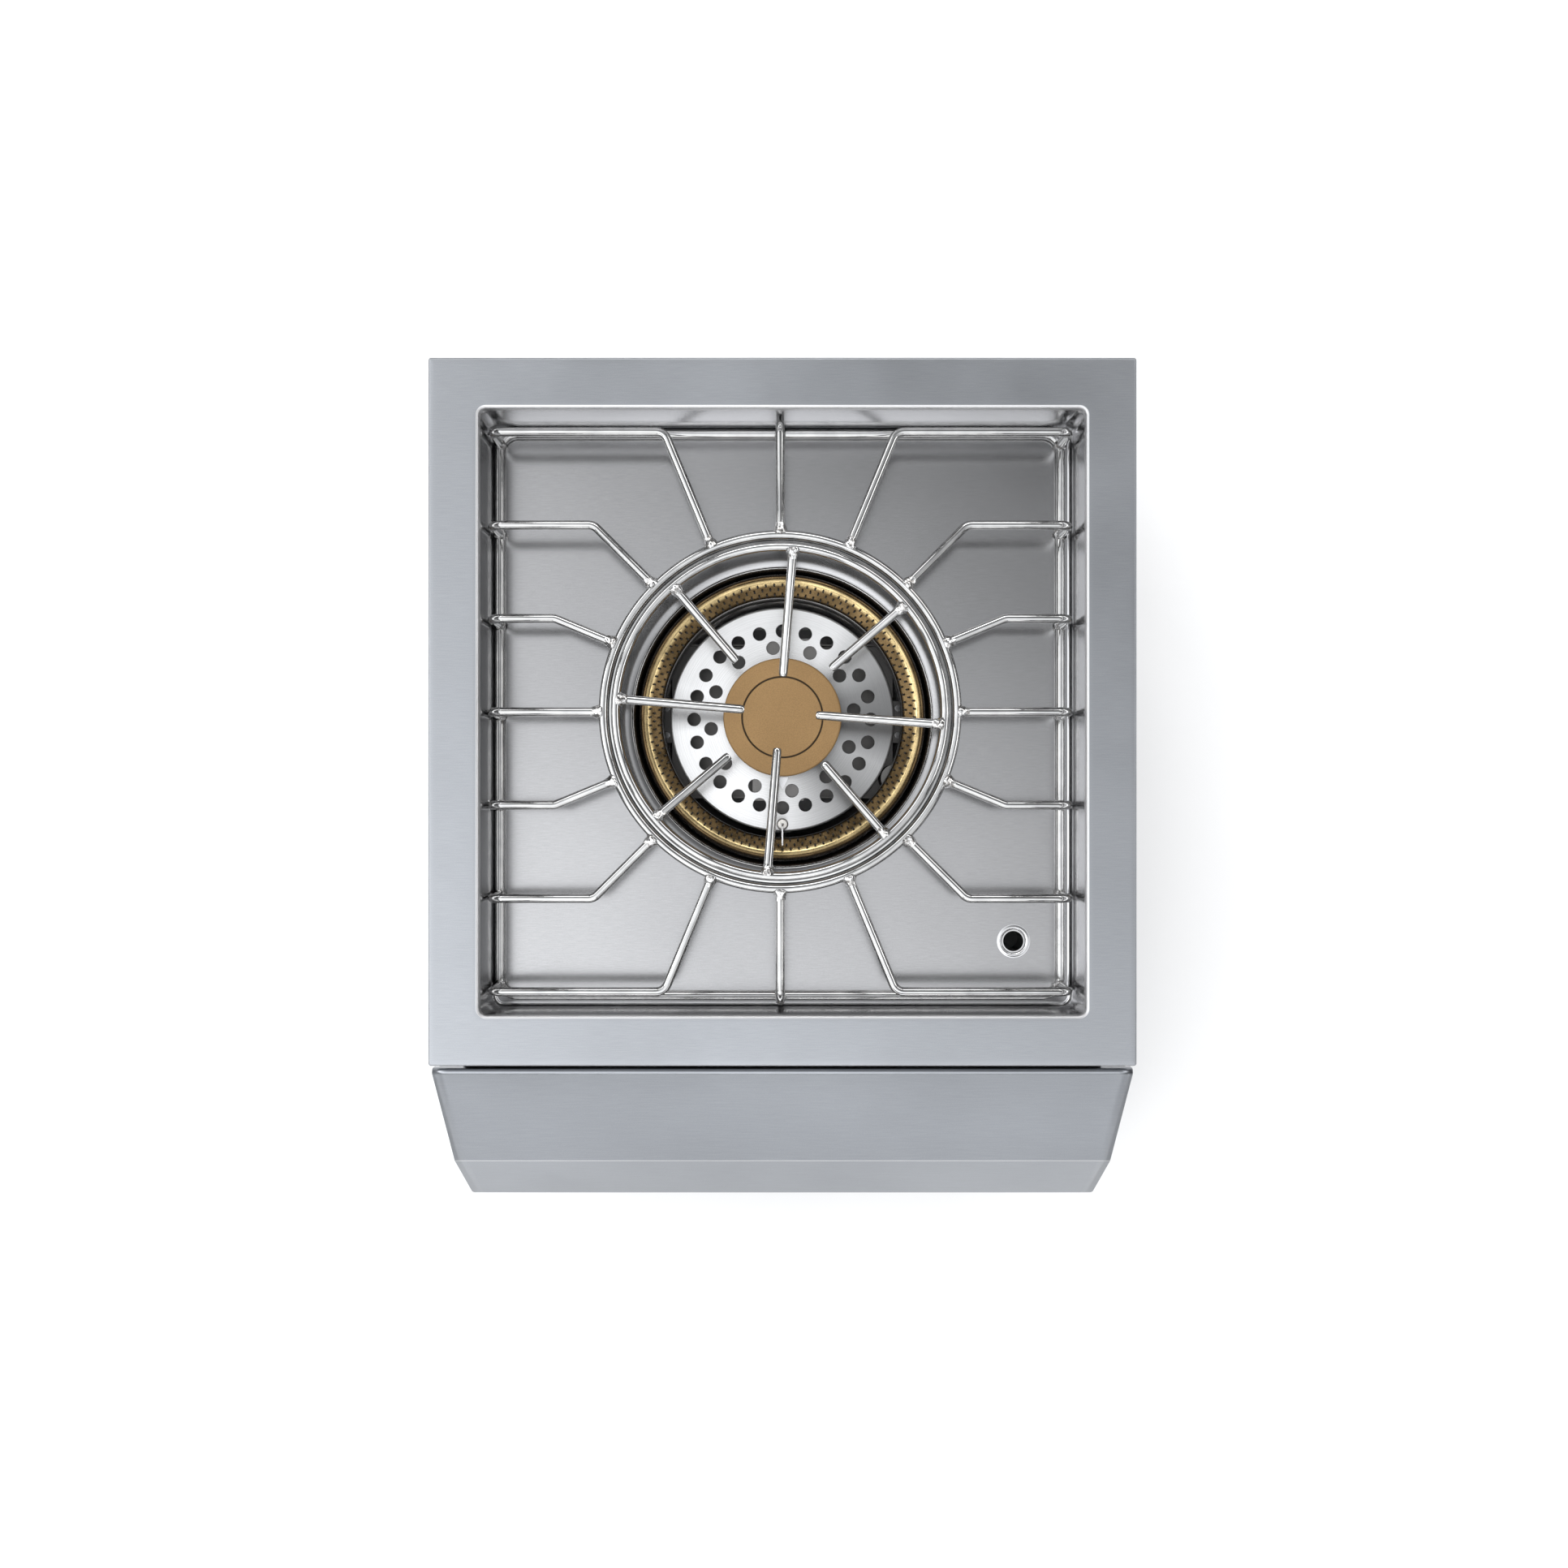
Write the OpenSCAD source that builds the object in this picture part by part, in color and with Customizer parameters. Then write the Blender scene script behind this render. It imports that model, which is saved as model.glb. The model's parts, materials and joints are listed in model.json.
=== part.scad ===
// Built-in outdoor gas power burner: a stainless deck with a deep well, a welded rod grate, a
// lift-out wok ring, a brass ring burner around a centre burner, and a sloped front control panel.
// Millimetres. +Z is up and the controls face -Y. z = 0 is the flat underside, and the origin is
// below the middle of the overall depth.

/* [Deck and well] */
// Width and depth of the square top deck
deck_w = 610; // [600:1:620]
// Height of the deck's top above the underside
height = 300; // [295:1:310]
// Width of the deck's border around the well
border = 43.5; // [42:0.5:46]
// Depth of the folded rim that rests on the counter
rim_h = 12; // [10:1:16]
// Depth of the well's floor below the deck's top
well_depth = 76; // [74:1:80]
// Thickness of the folded sheet
sheet = 1.5; // [1.2:0.1:2]
// Radius of the drain hole
drain_r = 9.25; // [8:0.25:11]

/* [Casing] */
// Width and depth of the casing that drops through the counter
casing_w = 556; // [552:1:560]
// Width of a folded flange on the casing's plates
flange_w = 12; // [10:1:14]

/* [Control panel] */
// Width of the control panel
panel_w = 606; // [600:1:608]
// Reach of the panel in front of the deck
panel_reach = 154; // [150:1:160]
// Gap between the deck's front edge and the panel
panel_gap = 3; // [2:0.5:4]
// Reach of the panel's crease in front of the deck
crease_reach = 104; // [100:1:108]
// Height of the panel's crease
crease_z = 208; // [204:1:212]
// Height of the panel's front edge
nose_z = 131; // [128:1:134]
// Depth of the control face behind the panel's front edge
face_recess = 25; // [25:0.5:27]
// Distance of each knob from the middle
knob_x = 105; // [100:1:110]
// Height of the knobs' axes
knob_z = 64; // [62:1:68]
// Radius of a knob's skirt
knob_r = 28; // [26:0.5:29]
// Travel of a knob when it is pushed in
push_travel = 3.5; // [3:0.5:4]

/* [Burners] */
// Inner radius of the brass ring burner
ring_in_r = 110.2; // [109:0.1:111]
// Outer radius of the brass ring burner
ring_out_r = 130.8; // [130:0.1:131.5]
// Height of the ring burner's crest above the well's floor
crest_rise = 3; // [1:0.5:5]
// Radius of the well's round opening for the burners
bowl_r = 136.5; // [136:0.1:138]
// Radius of the perforated disc
disc_r = 105; // [102:0.5:106]
// Height of the perforated disc's top
disc_z = 191.5; // [190:0.5:193]
// Radius of the perforated disc's air holes
disc_hole_r = 6.1; // [5:0.1:6.5]
// Radius of the centre burner's cap
cap_r = 54; // [52:0.5:56]
// Height of the cap's top
cap_top = 226; // [225:0.5:228]

/* [Grate] */
// Radius of every rod
rod_r = 4; // [3.5:0.1:4.2]
// Depth of the rods' centre lines below the deck's top
rod_depth = 26.5; // [25:0.5:28]
// Pitch of the straight rows
row_pitch = 82; // [80:0.5:82.5]
// Distance of the grate's legs from its middle
leg_x = 255; // [253:0.5:256]
// Radius of the grate's ring
grate_ring_r = 155.5; // [154:0.5:157]
// Bend radius of the rods
bend_r = 11; // [9:0.5:12]

/* [Wok ring] */
// Radius of the wok ring's hoop
wok_r = 144.5; // [143.5:0.5:145]
// Distance of the long fingers' tips from the middle
long_tip_r = 32; // [30:1:36]
// Distance of the short fingers' tips from the middle
short_tip_r = 59; // [56:1:62]
// Turn of the wok ring from square, clockwise seen from above
wok_turn = 4.5; // [0:0.5:10]
// Fall of a finger for each millimetre of its length
finger_fall = 0.09; // [0:0.01:0.12]

/* [Hidden] */
$fn = 96;

deck_y = panel_reach / 2;
opening_w = deck_w - 2 * border;
opening_corner_r = 6;
floor_z = height - well_depth;
pan_w = opening_w + 2 * sheet + 0.4;
rod_z = height - rod_depth;
running_gap = 0.05;
rail_z = floor_z + rod_r + running_gap;
face_reach = panel_reach - face_recess;
ring_mid_r = (ring_in_r + ring_out_r) / 2;
ring_feed_r = 118.5;
ring_feed_y = -sqrt(ring_feed_r * ring_feed_r - knob_x * knob_x);
crest_z = floor_z + crest_rise;
ring_seam_z = 204;
ring_foot_z = 186;
bowl_bottom_z = 152;
pot_z = 176;
bracket_z = bowl_bottom_z;
tab_z = bracket_z + 11;
mixer_r = 11;
mixer_bore = 9.6;
mixer_mouth = 48;
stem_r = 4;
seat_ring_r = grate_ring_r - 6.5;
seat_ring_z = rod_z - 4.5;
wok_z = seat_ring_z + 7.9;
grate_shift = [-2, 1.7, 0];
rail_y = leg_x + 0.3;
drain_pos = [211, -204.5];
spring_r = 6;
spring_wire_r = 0.6;
spring_turns = 4;
spring_sides = 6;
spring_steps = 18;
spring_start = 108.8;
spring_end = 118.8;
shield_reach = panel_gap + 1.6;
shield_top = height - rim_h - 4.5;
rim_flange = 15;
casing_wall = 1.2;
manifold_reach = 82;
manifold_z = 38;
manifold_r = 11;
manifold_half = 150;
supply_x = 215;
supply_r = 9;
supply_bore = 7;
lead_z = 180;
spark_reach = 20;
igniter_y = -98;
overlap = 0.01;
elbow_lap = 0.3;
elbow_hair = 0.03;

// ---------------------------------------------------------------- shared shapes

// y of a point that lies a given distance in front of the deck, in the deck's own frame
function front(reach) = -deck_w / 2 - reach;

function unit(v) = v / norm(v);
function left_of(v) = [-v[1], v[0]];
function path_dir(p, i) = unit(p[i + 1] - p[i]);

// The path's point i moved to its left by t, with mitred corners
function moved_left(p, i, t) =
  let (last = len(p) - 1,
       before = path_dir(p, max(i - 1, 0)),
       after = path_dir(p, min(i, last - 1)))
  p[i] + (left_of(before) + left_of(after)) * t / (1 + before * after);

// Outline of a folded sheet: the path, and the same path moved to its left by t
function folded(p, t) = concat(p, [for (i = [len(p) - 1:-1:0]) moved_left(p, i, t)]);

module at_deck() translate([0, deck_y, 0]) children();

// The loose grate lies a little off the well's middle, and the wok ring with it
module at_grate() at_deck() translate(grate_shift) children();

module rounded_rect(w, d, r) {
  square([w - 2 * r, d], center = true);
  square([w, d - 2 * r], center = true);
  for (x = [-1, 1], y = [-1, 1])
    translate([x * (w / 2 - r), y * (d / 2 - r)]) circle(r);
}

// A rounded block between two heights
module block(w, d, r, z0, z1) translate([0, 0, z0]) linear_extrude(z1 - z0) rounded_rect(w, d, r);

// A rounded square tube between two heights
module square_ring(w, wall, r, z0, z1) {
  difference() {
    block(w, w, r, z0, z1);
    block(w - 2 * wall, w - 2 * wall, max(r - wall, 0.5), z0 - 1, z1 + 1);
  }
}

// A round bar that lies along Y, between two distances in front of the deck
module bar(x, z, r, from, to)
  translate([x, front(from), z]) rotate([90, 0, 0]) cylinder(h = to - from, r = r);

// The section of a rod, or of a pipe when it has a bore
module rod_section(r, bore) {
  difference() {
    circle(r);
    if (bore > 0) circle(bore);
  }
}

// A straight rod or pipe between two points
module straight_rod(a, b, r, bore = 0) {
  v = b - a;
  translate(a) rotate([0, acos(v[2] / norm(v)), atan2(v[1], v[0])])
    linear_extrude(norm(v)) rod_section(r, bore);
}

// The elbow that joins direction u to direction v around the corner p
module elbow(p, u, v, bend, r, bore) {
  turn = acos(u * v);
  centre = p + unit(v - u) * bend / cos(turn / 2);
  x = unit(p - u * bend * tan(turn / 2) - centre);
  z = cross(x, u);
  multmatrix([
    [x[0], u[0], z[0], centre[0]],
    [x[1], u[1], z[1], centre[1]],
    [x[2], u[2], z[2], centre[2]],
    [0, 0, 0, 1]
  ])
    rotate_extrude(angle = turn) translate([bend, 0]) rod_section(r, bore);
}

// Length that a bend takes off the straight at the path's point i
function trim(p, i, bend) = (i == 0 || i == len(p) - 1) ? 0
  : bend * tan(acos(min(1, path_dir(p, i - 1) * path_dir(p, i))) / 2);

// A rod or pipe that follows a path of points, with rounded corners. Each straight laps the ends
// of its elbows, which are thinner by a hair, so that the two never share a surface.
module bent_rod(p, r, bend, bore = 0) {
  for (i = [0:len(p) - 2]) {
    u = path_dir(p, i);
    lap_start = i == 0 ? 0 : elbow_lap;
    lap_end = i == len(p) - 2 ? 0 : elbow_lap;
    straight_rod(p[i] + u * (trim(p, i, bend) - lap_start),
                 p[i + 1] - u * (trim(p, i + 1, bend) - lap_end), r, bore);
  }
  for (i = [1:1:len(p) - 2])
    elbow(p[i], path_dir(p, i - 1), path_dir(p, i), bend, r - elbow_hair,
          bore > 0 ? bore + elbow_hair : 0);
}

// A closed hoop of rod
module hoop(radius, z, r) translate([0, 0, z]) rotate_extrude() translate([radius, 0]) circle(r);

// A pan-head screw at a point, with its shank along -Z
module screw(head_r, shank_r, length) {
  cylinder(h = head_r * 0.45, r = head_r);
  translate([0, 0, -length]) cylinder(h = length + overlap, r = shank_r);
}

// ---------------------------------------------------------------- deck and well

// Folded top sheet with a rim that rests on the counter and a lip that turns into the well
module deck_frame() color("silver") at_deck() {
  difference() {
    block(deck_w, deck_w, 3, height - sheet, height);
    block(opening_w, opening_w, opening_corner_r, height - 5, height + 5);
  }
  square_ring(deck_w, sheet, 3, height - rim_h, height - sheet);
  square_ring(deck_w, rim_flange, 3, height - rim_h, height - rim_h + sheet);
  square_ring(opening_w + 2 * sheet, sheet, opening_corner_r + sheet, height - 8, height - sheet);
}

// Walls of the well under the deck, with a flange round the top
module well_walls() color("lightgray") at_deck() {
  square_ring(pan_w + 2 * sheet, sheet, 9, floor_z, height - sheet);
  square_ring(pan_w + 2 * flange_w, flange_w - sheet + 1, 12, height - 2 * sheet, height - sheet);
}

// Floor welded into the walls' foot, with a round opening for the burners and a drain hole
module well_floor() color("lightgray") at_deck() {
  difference() {
    block(pan_w + 2 * sheet, pan_w + 2 * sheet, 9, floor_z - sheet, floor_z);
    translate([0, 0, floor_z - 10]) cylinder(h = 20, r = bowl_r);
    translate([drain_pos[0], drain_pos[1], floor_z - 10]) cylinder(h = 20, r = drain_r);
  }
}

// Round bowl below the well: a funnelled edge, a wall, and a flange that carries the burners
module burner_bowl() color("gainsboro") at_deck() {
  wall = 1.2;
  outline = [
    [bowl_r + 7, floor_z - sheet],
    [bowl_r, floor_z - sheet],
    [bowl_r - 4, floor_z - 9],
    [bowl_r - 4, bowl_bottom_z],
    [104, bowl_bottom_z]
  ];
  difference() {
    rotate_extrude() polygon(folded(outline, wall));
    translate([knob_x, ring_feed_y, bowl_bottom_z - 5]) cylinder(h = 10, r = mixer_r + 2);
  }
}

// Short pipe under the drain hole
module drain_spout() color("silver") at_deck() translate([drain_pos[0], drain_pos[1], 0]) {
  difference() {
    union() {
      translate([0, 0, floor_z - 34]) cylinder(h = 34 - sheet, r = drain_r + 1.75);
      translate([0, 0, floor_z - sheet - 1.2]) cylinder(h = 1.2, r = drain_r + 6);
    }
    translate([0, 0, floor_z - 40]) cylinder(h = 45, r = drain_r);
  }
}

// ---------------------------------------------------------------- casing

// Side plate, with its top and bottom edges folded inwards, rows of vent slots, and a step under
// the deck's front rim
module casing_side(side) color("darkgray") at_deck() mirror([side < 0 ? 1 : 0, 0, 0]) {
  outline = [
    [casing_w / 2 - flange_w, sheet],
    [casing_w / 2, sheet],
    [casing_w / 2, height - 2 * sheet],
    [casing_w / 2 - flange_w, height - 2 * sheet]
  ];
  difference() {
    translate([0, casing_w / 2, 0]) rotate([90, 0, 0])
      linear_extrude(casing_w / 2 - front(shield_reach)) polygon(folded(outline, casing_wall));
    translate([0, front(20), shield_top]) cube([casing_w, 20 + rim_flange + 1, height]);
    for (row = [0:4], column = [-1:1])
      translate([casing_w / 2, 40 + column * 120, 40 + row * 14]) cube([10, 80, 5], center = true);
  }
}

// Rear plate between the side plates, with vent slots and the hole for the gas inlet
module casing_rear() color("darkgray") at_deck() {
  plate_w = casing_w - 2 * casing_wall - 0.4;
  edge_gap = casing_wall + 0.2;
  difference() {
    translate([-plate_w / 2, casing_w / 2 - casing_wall, sheet + edge_gap])
      cube([plate_w, casing_wall, height - 3 * sheet - 2 * edge_gap]);
    for (row = [0:4], column = [-1:1])
      translate([column * 120 - 40, casing_w / 2, 150 + row * 14]) cube([80, 10, 5], center = true);
    translate([supply_x, casing_w / 2 + 5, manifold_z]) rotate([90, 0, 0]) cylinder(h = 10, r = 8.5);
  }
}

// Flat floor of the casing and of the control box, with vent slots under the burners
module base_plate() color("darkgray") at_deck() {
  control_w = panel_w - 2 * sheet - 1;
  difference() {
    union() {
      translate([-casing_w / 2, front(panel_gap), 0])
        cube([casing_w, casing_w / 2 - front(panel_gap), sheet]);
      translate([-control_w / 2, front(face_reach - 20), 0])
        cube([control_w, face_reach - 20 - panel_gap, sheet]);
    }
    for (row = [-5:5], column = [-1:1])
      translate([column * 110, row * 22, 0]) cube([84, 6, 10], center = true);
  }
}

// Wall between the burners and the control box, with holes for the two mixer tubes
module heat_shield() color("darkgray") at_deck() {
  shield_w = panel_w - 2 * sheet - 1;
  difference() {
    translate([-shield_w / 2, front(shield_reach + casing_wall), sheet])
      cube([shield_w, casing_wall, shield_top - sheet]);
    for (x = [-knob_x, knob_x]) bar(x, knob_z, mixer_r + 3, -10, 10);
    bar(supply_x, manifold_z, 11, -10, 10);
    bar(0, lead_z, 3.5, -10, 10);
  }
}

// ---------------------------------------------------------------- control panel

// Side view of the panel's outer face, as [reach in front of the deck, height]
panel_path = [
  [panel_gap, height - 16],
  [panel_gap, height - 2],
  [crease_reach, crease_z],
  [panel_reach, nose_z],
  [panel_reach, nose_z - 3],
  [face_reach, nose_z - 7],
  [face_reach, 0],
  [face_reach - 19, 0]
];

// Stands a side view of the panel upright and stretches it along X
module along_panel(x, length)
  translate([x, front(0), 0]) rotate([90, 0, -90]) translate([0, 0, -length])
    linear_extrude(length) children();

// One folded sheet: a sloped top in two facets, a visor edge, and the upright control face
module control_panel() color("slategray") at_deck() {
  difference() {
    along_panel(-panel_w / 2, panel_w) polygon(folded(panel_path, -sheet));
    for (x = [-knob_x, knob_x]) bar(x, knob_z, 7, face_reach - 10, face_reach + 10);
  }
}

// Flat plate that closes one end of the control box
module panel_end(x) color("slategray") at_deck() {
  inner = [for (i = [1:len(panel_path) - 2]) moved_left(panel_path, i, -sheet - 0.2)];
  back = shield_reach + 1.4;
  along_panel(x, sheet) polygon(concat(inner, [[back, sheet + 0.2], [back, height - 18]]));
}

// ---------------------------------------------------------------- knobs and valves

// Round trim ring around one knob
module bezel(x) color("gray") at_deck() {
  difference() {
    union() {
      bar(x, knob_z, 37, face_reach, face_reach + 2.5);
      bar(x, knob_z, 34.5, face_reach, face_reach + 4);
    }
    bar(x, knob_z, knob_r + 2.5, face_reach - 1, face_reach + 5);
  }
}

// Knob with a wide skirt, a narrower grip, a flat on each side and a pointer groove
module control_knob(x) color("dimgray") at_deck() {
  back = face_reach + push_travel + 1;
  tip = panel_reach - 0.5;
  difference() {
    translate([x, front(back), knob_z]) rotate([90, 0, 0]) rotate_extrude()
      polygon([
        [0, 0], [knob_r, 0], [knob_r, 3], [knob_r - 2, 5],
        [knob_r - 4, tip - back - 1.5], [knob_r - 5.5, tip - back], [0, tip - back]
      ]);
    bar(x, knob_z, stem_r, back - 1, back + 12);
    for (side = [-1, 1])
      translate([x + side * (knob_r + 6), front(back + 14), knob_z])
        cube([24, 18, 2 * knob_r + 2], center = true);
    translate([x, front(tip), knob_z + knob_r / 2]) cube([2, 2, knob_r], center = true);
  }
}

// Valve stem that carries the knob, with the shoulder that bears on the thrust collar
module valve_stem(x) color("goldenrod") at_deck() {
  bar(x, knob_z, stem_r, 84, face_reach + push_travel + 13);
  bar(x, knob_z, 6.5, 122.6, 124);
}

// Collar that slides with the stem but doesn't turn, and takes the spring's force
module thrust_collar(x) color("silver") at_deck() {
  difference() {
    bar(x, knob_z, 8.5, 119.5, 122.3);
    bar(x, knob_z, stem_r + running_gap, 118, 124);
  }
}

// Compression spring between the valve and the thrust collar
module return_spring(x) color("silver") at_deck() {
  rings = spring_turns * spring_steps;
  points = [
    for (i = [0:rings], k = [0:spring_sides - 1])
      let (a = 360 * i / spring_steps,
           b = 360 * k / spring_sides,
           r = spring_r + spring_wire_r * cos(b),
           along = spring_start + (spring_end - spring_start) * i / rings)
      [x + r * cos(a), front(along + spring_wire_r * sin(b)), knob_z + r * sin(a)]
  ];
  sides = [
    for (i = [0:rings - 1], k = [0:spring_sides - 1])
      let (next = (k + 1) % spring_sides)
      [i * spring_sides + k, i * spring_sides + next,
       (i + 1) * spring_sides + next, (i + 1) * spring_sides + k]
  ];
  start_cap = [for (k = [spring_sides - 1:-1:0]) k];
  end_cap = [for (k = [0:spring_sides - 1]) rings * spring_sides + k];
  polyhedron(points, concat(sides, [start_cap, end_cap]), convexity = 10);
}

// Brass valve on top of the manifold, with a bored bonnet for the stem
module valve_body(x) color("goldenrod") at_deck() {
  difference() {
    union() {
      bar(x, knob_z, 14, 66, 98);
      bar(x, knob_z, 10, 98, 108);
      bar(x, knob_z, 7, 56, 66);
      translate([x, front(manifold_reach), manifold_z + manifold_r - 1.8])
        cylinder(h = knob_z - manifold_z - manifold_r, r = 6);
    }
    bar(x, knob_z, stem_r + running_gap, 80, 110);
  }
}

// Brass jet that screws into the back of the valve and points into the mixer tube
module orifice(x) color("gold") at_deck() {
  difference() {
    union() {
      bar(x, knob_z, 6, 52, 56);
      bar(x, knob_z, 4.5, 42, 52);
    }
    bar(x, knob_z, 0.9, 40, 60);
  }
}

// ---------------------------------------------------------------- gas supply

// A round bar along the manifold's line, between two places across the casing
module manifold_bar(r, from, to)
  straight_rod([from, front(manifold_reach), manifold_z], [to, front(manifold_reach), manifold_z], r);

// Pipe that feeds both valves, closed at one end and reduced to the supply pipe at the other
module manifold_pipe() color("silver") at_deck() {
  difference() {
    manifold_bar(manifold_r, -manifold_half, manifold_half);
    manifold_bar(manifold_r - 2, 3 - manifold_half, manifold_half - 3);
    manifold_bar(supply_bore, manifold_half - 4, manifold_half + 1);
  }
}

// Pipe from the inlet at the rear to the manifold
module supply_pipe() color("silver") at_deck()
  bent_rod([
    [manifold_half, front(manifold_reach), manifold_z],
    [supply_x, front(manifold_reach), manifold_z],
    [supply_x, casing_w / 2 - 14, manifold_z]
  ], supply_r, 22, supply_bore);

// Brass inlet fitting with a hexagon inside the casing and a flare spigot outside it
module gas_inlet() color("goldenrod") at_deck() {
  difference() {
    translate([supply_x, casing_w / 2, manifold_z]) rotate([-90, 0, 0]) {
      translate([0, 0, -14]) cylinder(h = 12.8, r = 12, $fn = 6);
      translate([0, 0, -2]) cylinder(h = 2, r = 8.4);
      translate([0, 0, -1]) cylinder(h = 17, r = 7.94);
    }
    translate([supply_x, casing_w / 2 - 20, manifold_z]) rotate([-90, 0, 0]) cylinder(h = 40, r = 5);
  }
}

// Collar that turns on a mixer tube's mouth to set the air, with two windows
module air_shutter(x) color("silver") at_deck() {
  difference() {
    bar(x, knob_z, mixer_r + 1.8, mixer_mouth - 18, mixer_mouth);
    bar(x, knob_z, mixer_r + running_gap, mixer_mouth - 19, mixer_mouth + 1);
    translate([x, front(mixer_mouth - 9), knob_z]) cube([40, 10, 12], center = true);
  }
}

// The two air windows near a mixer tube's mouth
module mixer_windows(x)
  translate([x, front(mixer_mouth - 9), knob_z]) cube([40, 9, 11], center = true);

// Mixer tube from the left valve to the centre burner
module centre_mixer_tube() color("gray") at_deck() {
  difference() {
    bent_rod([
      [-knob_x, front(mixer_mouth), knob_z],
      [-knob_x, 0, knob_z],
      [0, 0, knob_z],
      [0, 0, pot_z]
    ], mixer_r, 30, mixer_bore);
    mixer_windows(-knob_x);
  }
}

// Mixer tube from the right valve to the ring burner
module ring_mixer_tube() color("gray") at_deck() {
  difference() {
    bent_rod([
      [knob_x, front(mixer_mouth), knob_z],
      [knob_x, ring_feed_y, knob_z],
      [knob_x, ring_feed_y, ring_foot_z]
    ], mixer_r, 30, mixer_bore);
    mixer_windows(knob_x);
  }
}

// ---------------------------------------------------------------- burners

// Shallow channel across the bowl that carries the burners, with its edges turned up and a tab
// for the igniter
module burner_bracket() color("silver") at_deck() {
  half_w = 73.5;
  outline = [[-half_w, tab_z], [-half_w, bracket_z], [half_w, bracket_z], [half_w, tab_z]];
  difference() {
    translate([-106, 0, 0]) rotate([90, 0, 90]) linear_extrude(212) polygon(folded(outline, 1.5));
    translate([0, 0, bracket_z - 5]) cylinder(h = 12, r = mixer_r + 2);
    translate([knob_x, ring_feed_y, bracket_z - 5]) cylinder(h = 12, r = mixer_r + 2);
  }
  for (side = [-1, 1])
    translate([side > 0 ? 105 : -123, -20, bracket_z]) cube([18, 40, 1.5]);
  difference() {
    translate([-8, igniter_y - 8, tab_z - 1.5]) cube([16, -half_w - igniter_y + 8.5, 1.5]);
    translate([0, igniter_y, tab_z - 5]) cylinder(h = 10, r = 3.4);
  }
}

// Four pillars from the bracket to the underside of the ring burner
module burner_posts() color("silver") at_deck() {
  post_x = sqrt(pow(ring_mid_r, 2) - pow(14, 2));
  for (x = [-1, 1], y = [-1, 1])
    translate([x * post_x, y * 14, bracket_z + 1.5])
      cylinder(h = ring_foot_z - bracket_z - 1.5, r = 3.5);
  for (i = [0:3]) rotate(45 + 90 * i)
    translate([34, 0, bracket_z + 1.5]) cylinder(h = pot_z - bracket_z - 1.5, r = 3.5);
}

// Open channel under the brass ring, with a boss that its mixer tube plugs into
module ring_burner_base() color("gray") at_deck() {
  difference() {
    union() {
      rotate_extrude() difference() {
        translate([ring_in_r + 0.8, ring_foot_z])
          square([ring_out_r - ring_in_r - 1.6, ring_seam_z - ring_foot_z]);
        translate([ring_in_r + 3.6, ring_foot_z + 3])
          square([ring_out_r - ring_in_r - 7.2, ring_seam_z - ring_foot_z]);
      }
      translate([knob_x, ring_feed_y, ring_foot_z - 5]) cylinder(h = 7, r = mixer_r + 1.6);
    }
    translate([knob_x, ring_feed_y, ring_foot_z - 6]) cylinder(h = 6, r = mixer_r + running_gap);
    translate([knob_x, ring_feed_y, ring_foot_z - 1]) cylinder(h = 8, r = 4.6);
  }
}

// Brass ring: a round outer shoulder, and a band that slopes down to the inside
module ring_burner_head() color("darkgoldenrod") at_deck() {
  crown_r = 5.5;
  crown = [ring_out_r - crown_r, crest_z - crown_r];
  shoulder = [for (a = [126:-14:0]) crown + crown_r * [cos(a), sin(a)]];
  inner_edge_z = crest_z - 9.5;
  rotate_extrude() difference() {
    polygon(concat(
      [[ring_in_r, ring_seam_z], [ring_in_r, inner_edge_z]], shoulder, [[ring_out_r, ring_seam_z]]
    ));
    polygon([
      [ring_in_r + 3, ring_seam_z - 1], [ring_in_r + 3, inner_edge_z - 1.5],
      [crown[0] - 2, crown[1] + 1.5], [ring_out_r - 3, crown[1] - 2], [ring_out_r - 3, ring_seam_z - 1]
    ]);
  }
}

// Round pot under the centre burner, with the lugs that carry the perforated disc
module centre_burner_base() color("gray") at_deck() {
  difference() {
    union() {
      translate([0, 0, pot_z]) cylinder(h = 14, r = 44);
      translate([0, 0, 188.8]) cylinder(h = 1.2, r = 52);
      for (lug = [[8, 1], [-4, -1]])
        translate([lug[0], lug[1] * 58, 187.4]) cube([48, 36, 2.8], center = true);
    }
    translate([0, 0, pot_z + 3]) cylinder(h = 20, r = 41);
    translate([0, 0, pot_z - 5]) cylinder(h = 20, r = mixer_bore);
  }
}

// Brass ring of slots that the centre burner's flames leave through
module centre_burner_head() color("darkgoldenrod") at_deck() {
  slots = 24;
  difference() {
    union() {
      translate([0, 0, 190]) cylinder(h = cap_top - 9 - 190, r = 43.5);
      translate([0, 0, 208]) cylinder(h = cap_top - 9 - 208, r = 47);
    }
    translate([0, 0, 189]) cylinder(h = 40, r = 38);
    for (i = [0:slots - 1]) rotate(360 * i / slots)
      translate([42, 0, cap_top - 10]) cube([14, 2.4, 6], center = true);
  }
}

// Lift-off cap: a flat top with a fine groove, a rounded edge and a locating rim below
module centre_burner_cap() color("peru") at_deck() {
  thick = 8.7;
  groove_r = 37;
  edge_r = 1.5;
  difference() {
    union() {
      translate([0, 0, cap_top - thick]) cylinder(h = thick - edge_r, r = cap_r);
      translate([0, 0, cap_top - thick]) cylinder(h = thick, r = cap_r - edge_r);
      hoop(cap_r - edge_r, cap_top - edge_r, edge_r);
      translate([0, 0, cap_top - thick - 5]) cylinder(h = 6, r = 37.5);
    }
    translate([0, 0, cap_top - 1]) difference() {
      cylinder(h = 3, r = groove_r);
      translate([0, 0, -1]) cylinder(h = 5, r = groove_r - 1);
    }
    translate([0, 0, cap_top - thick - 6]) cylinder(h = 10, r = 34.5);
  }
}

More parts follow.
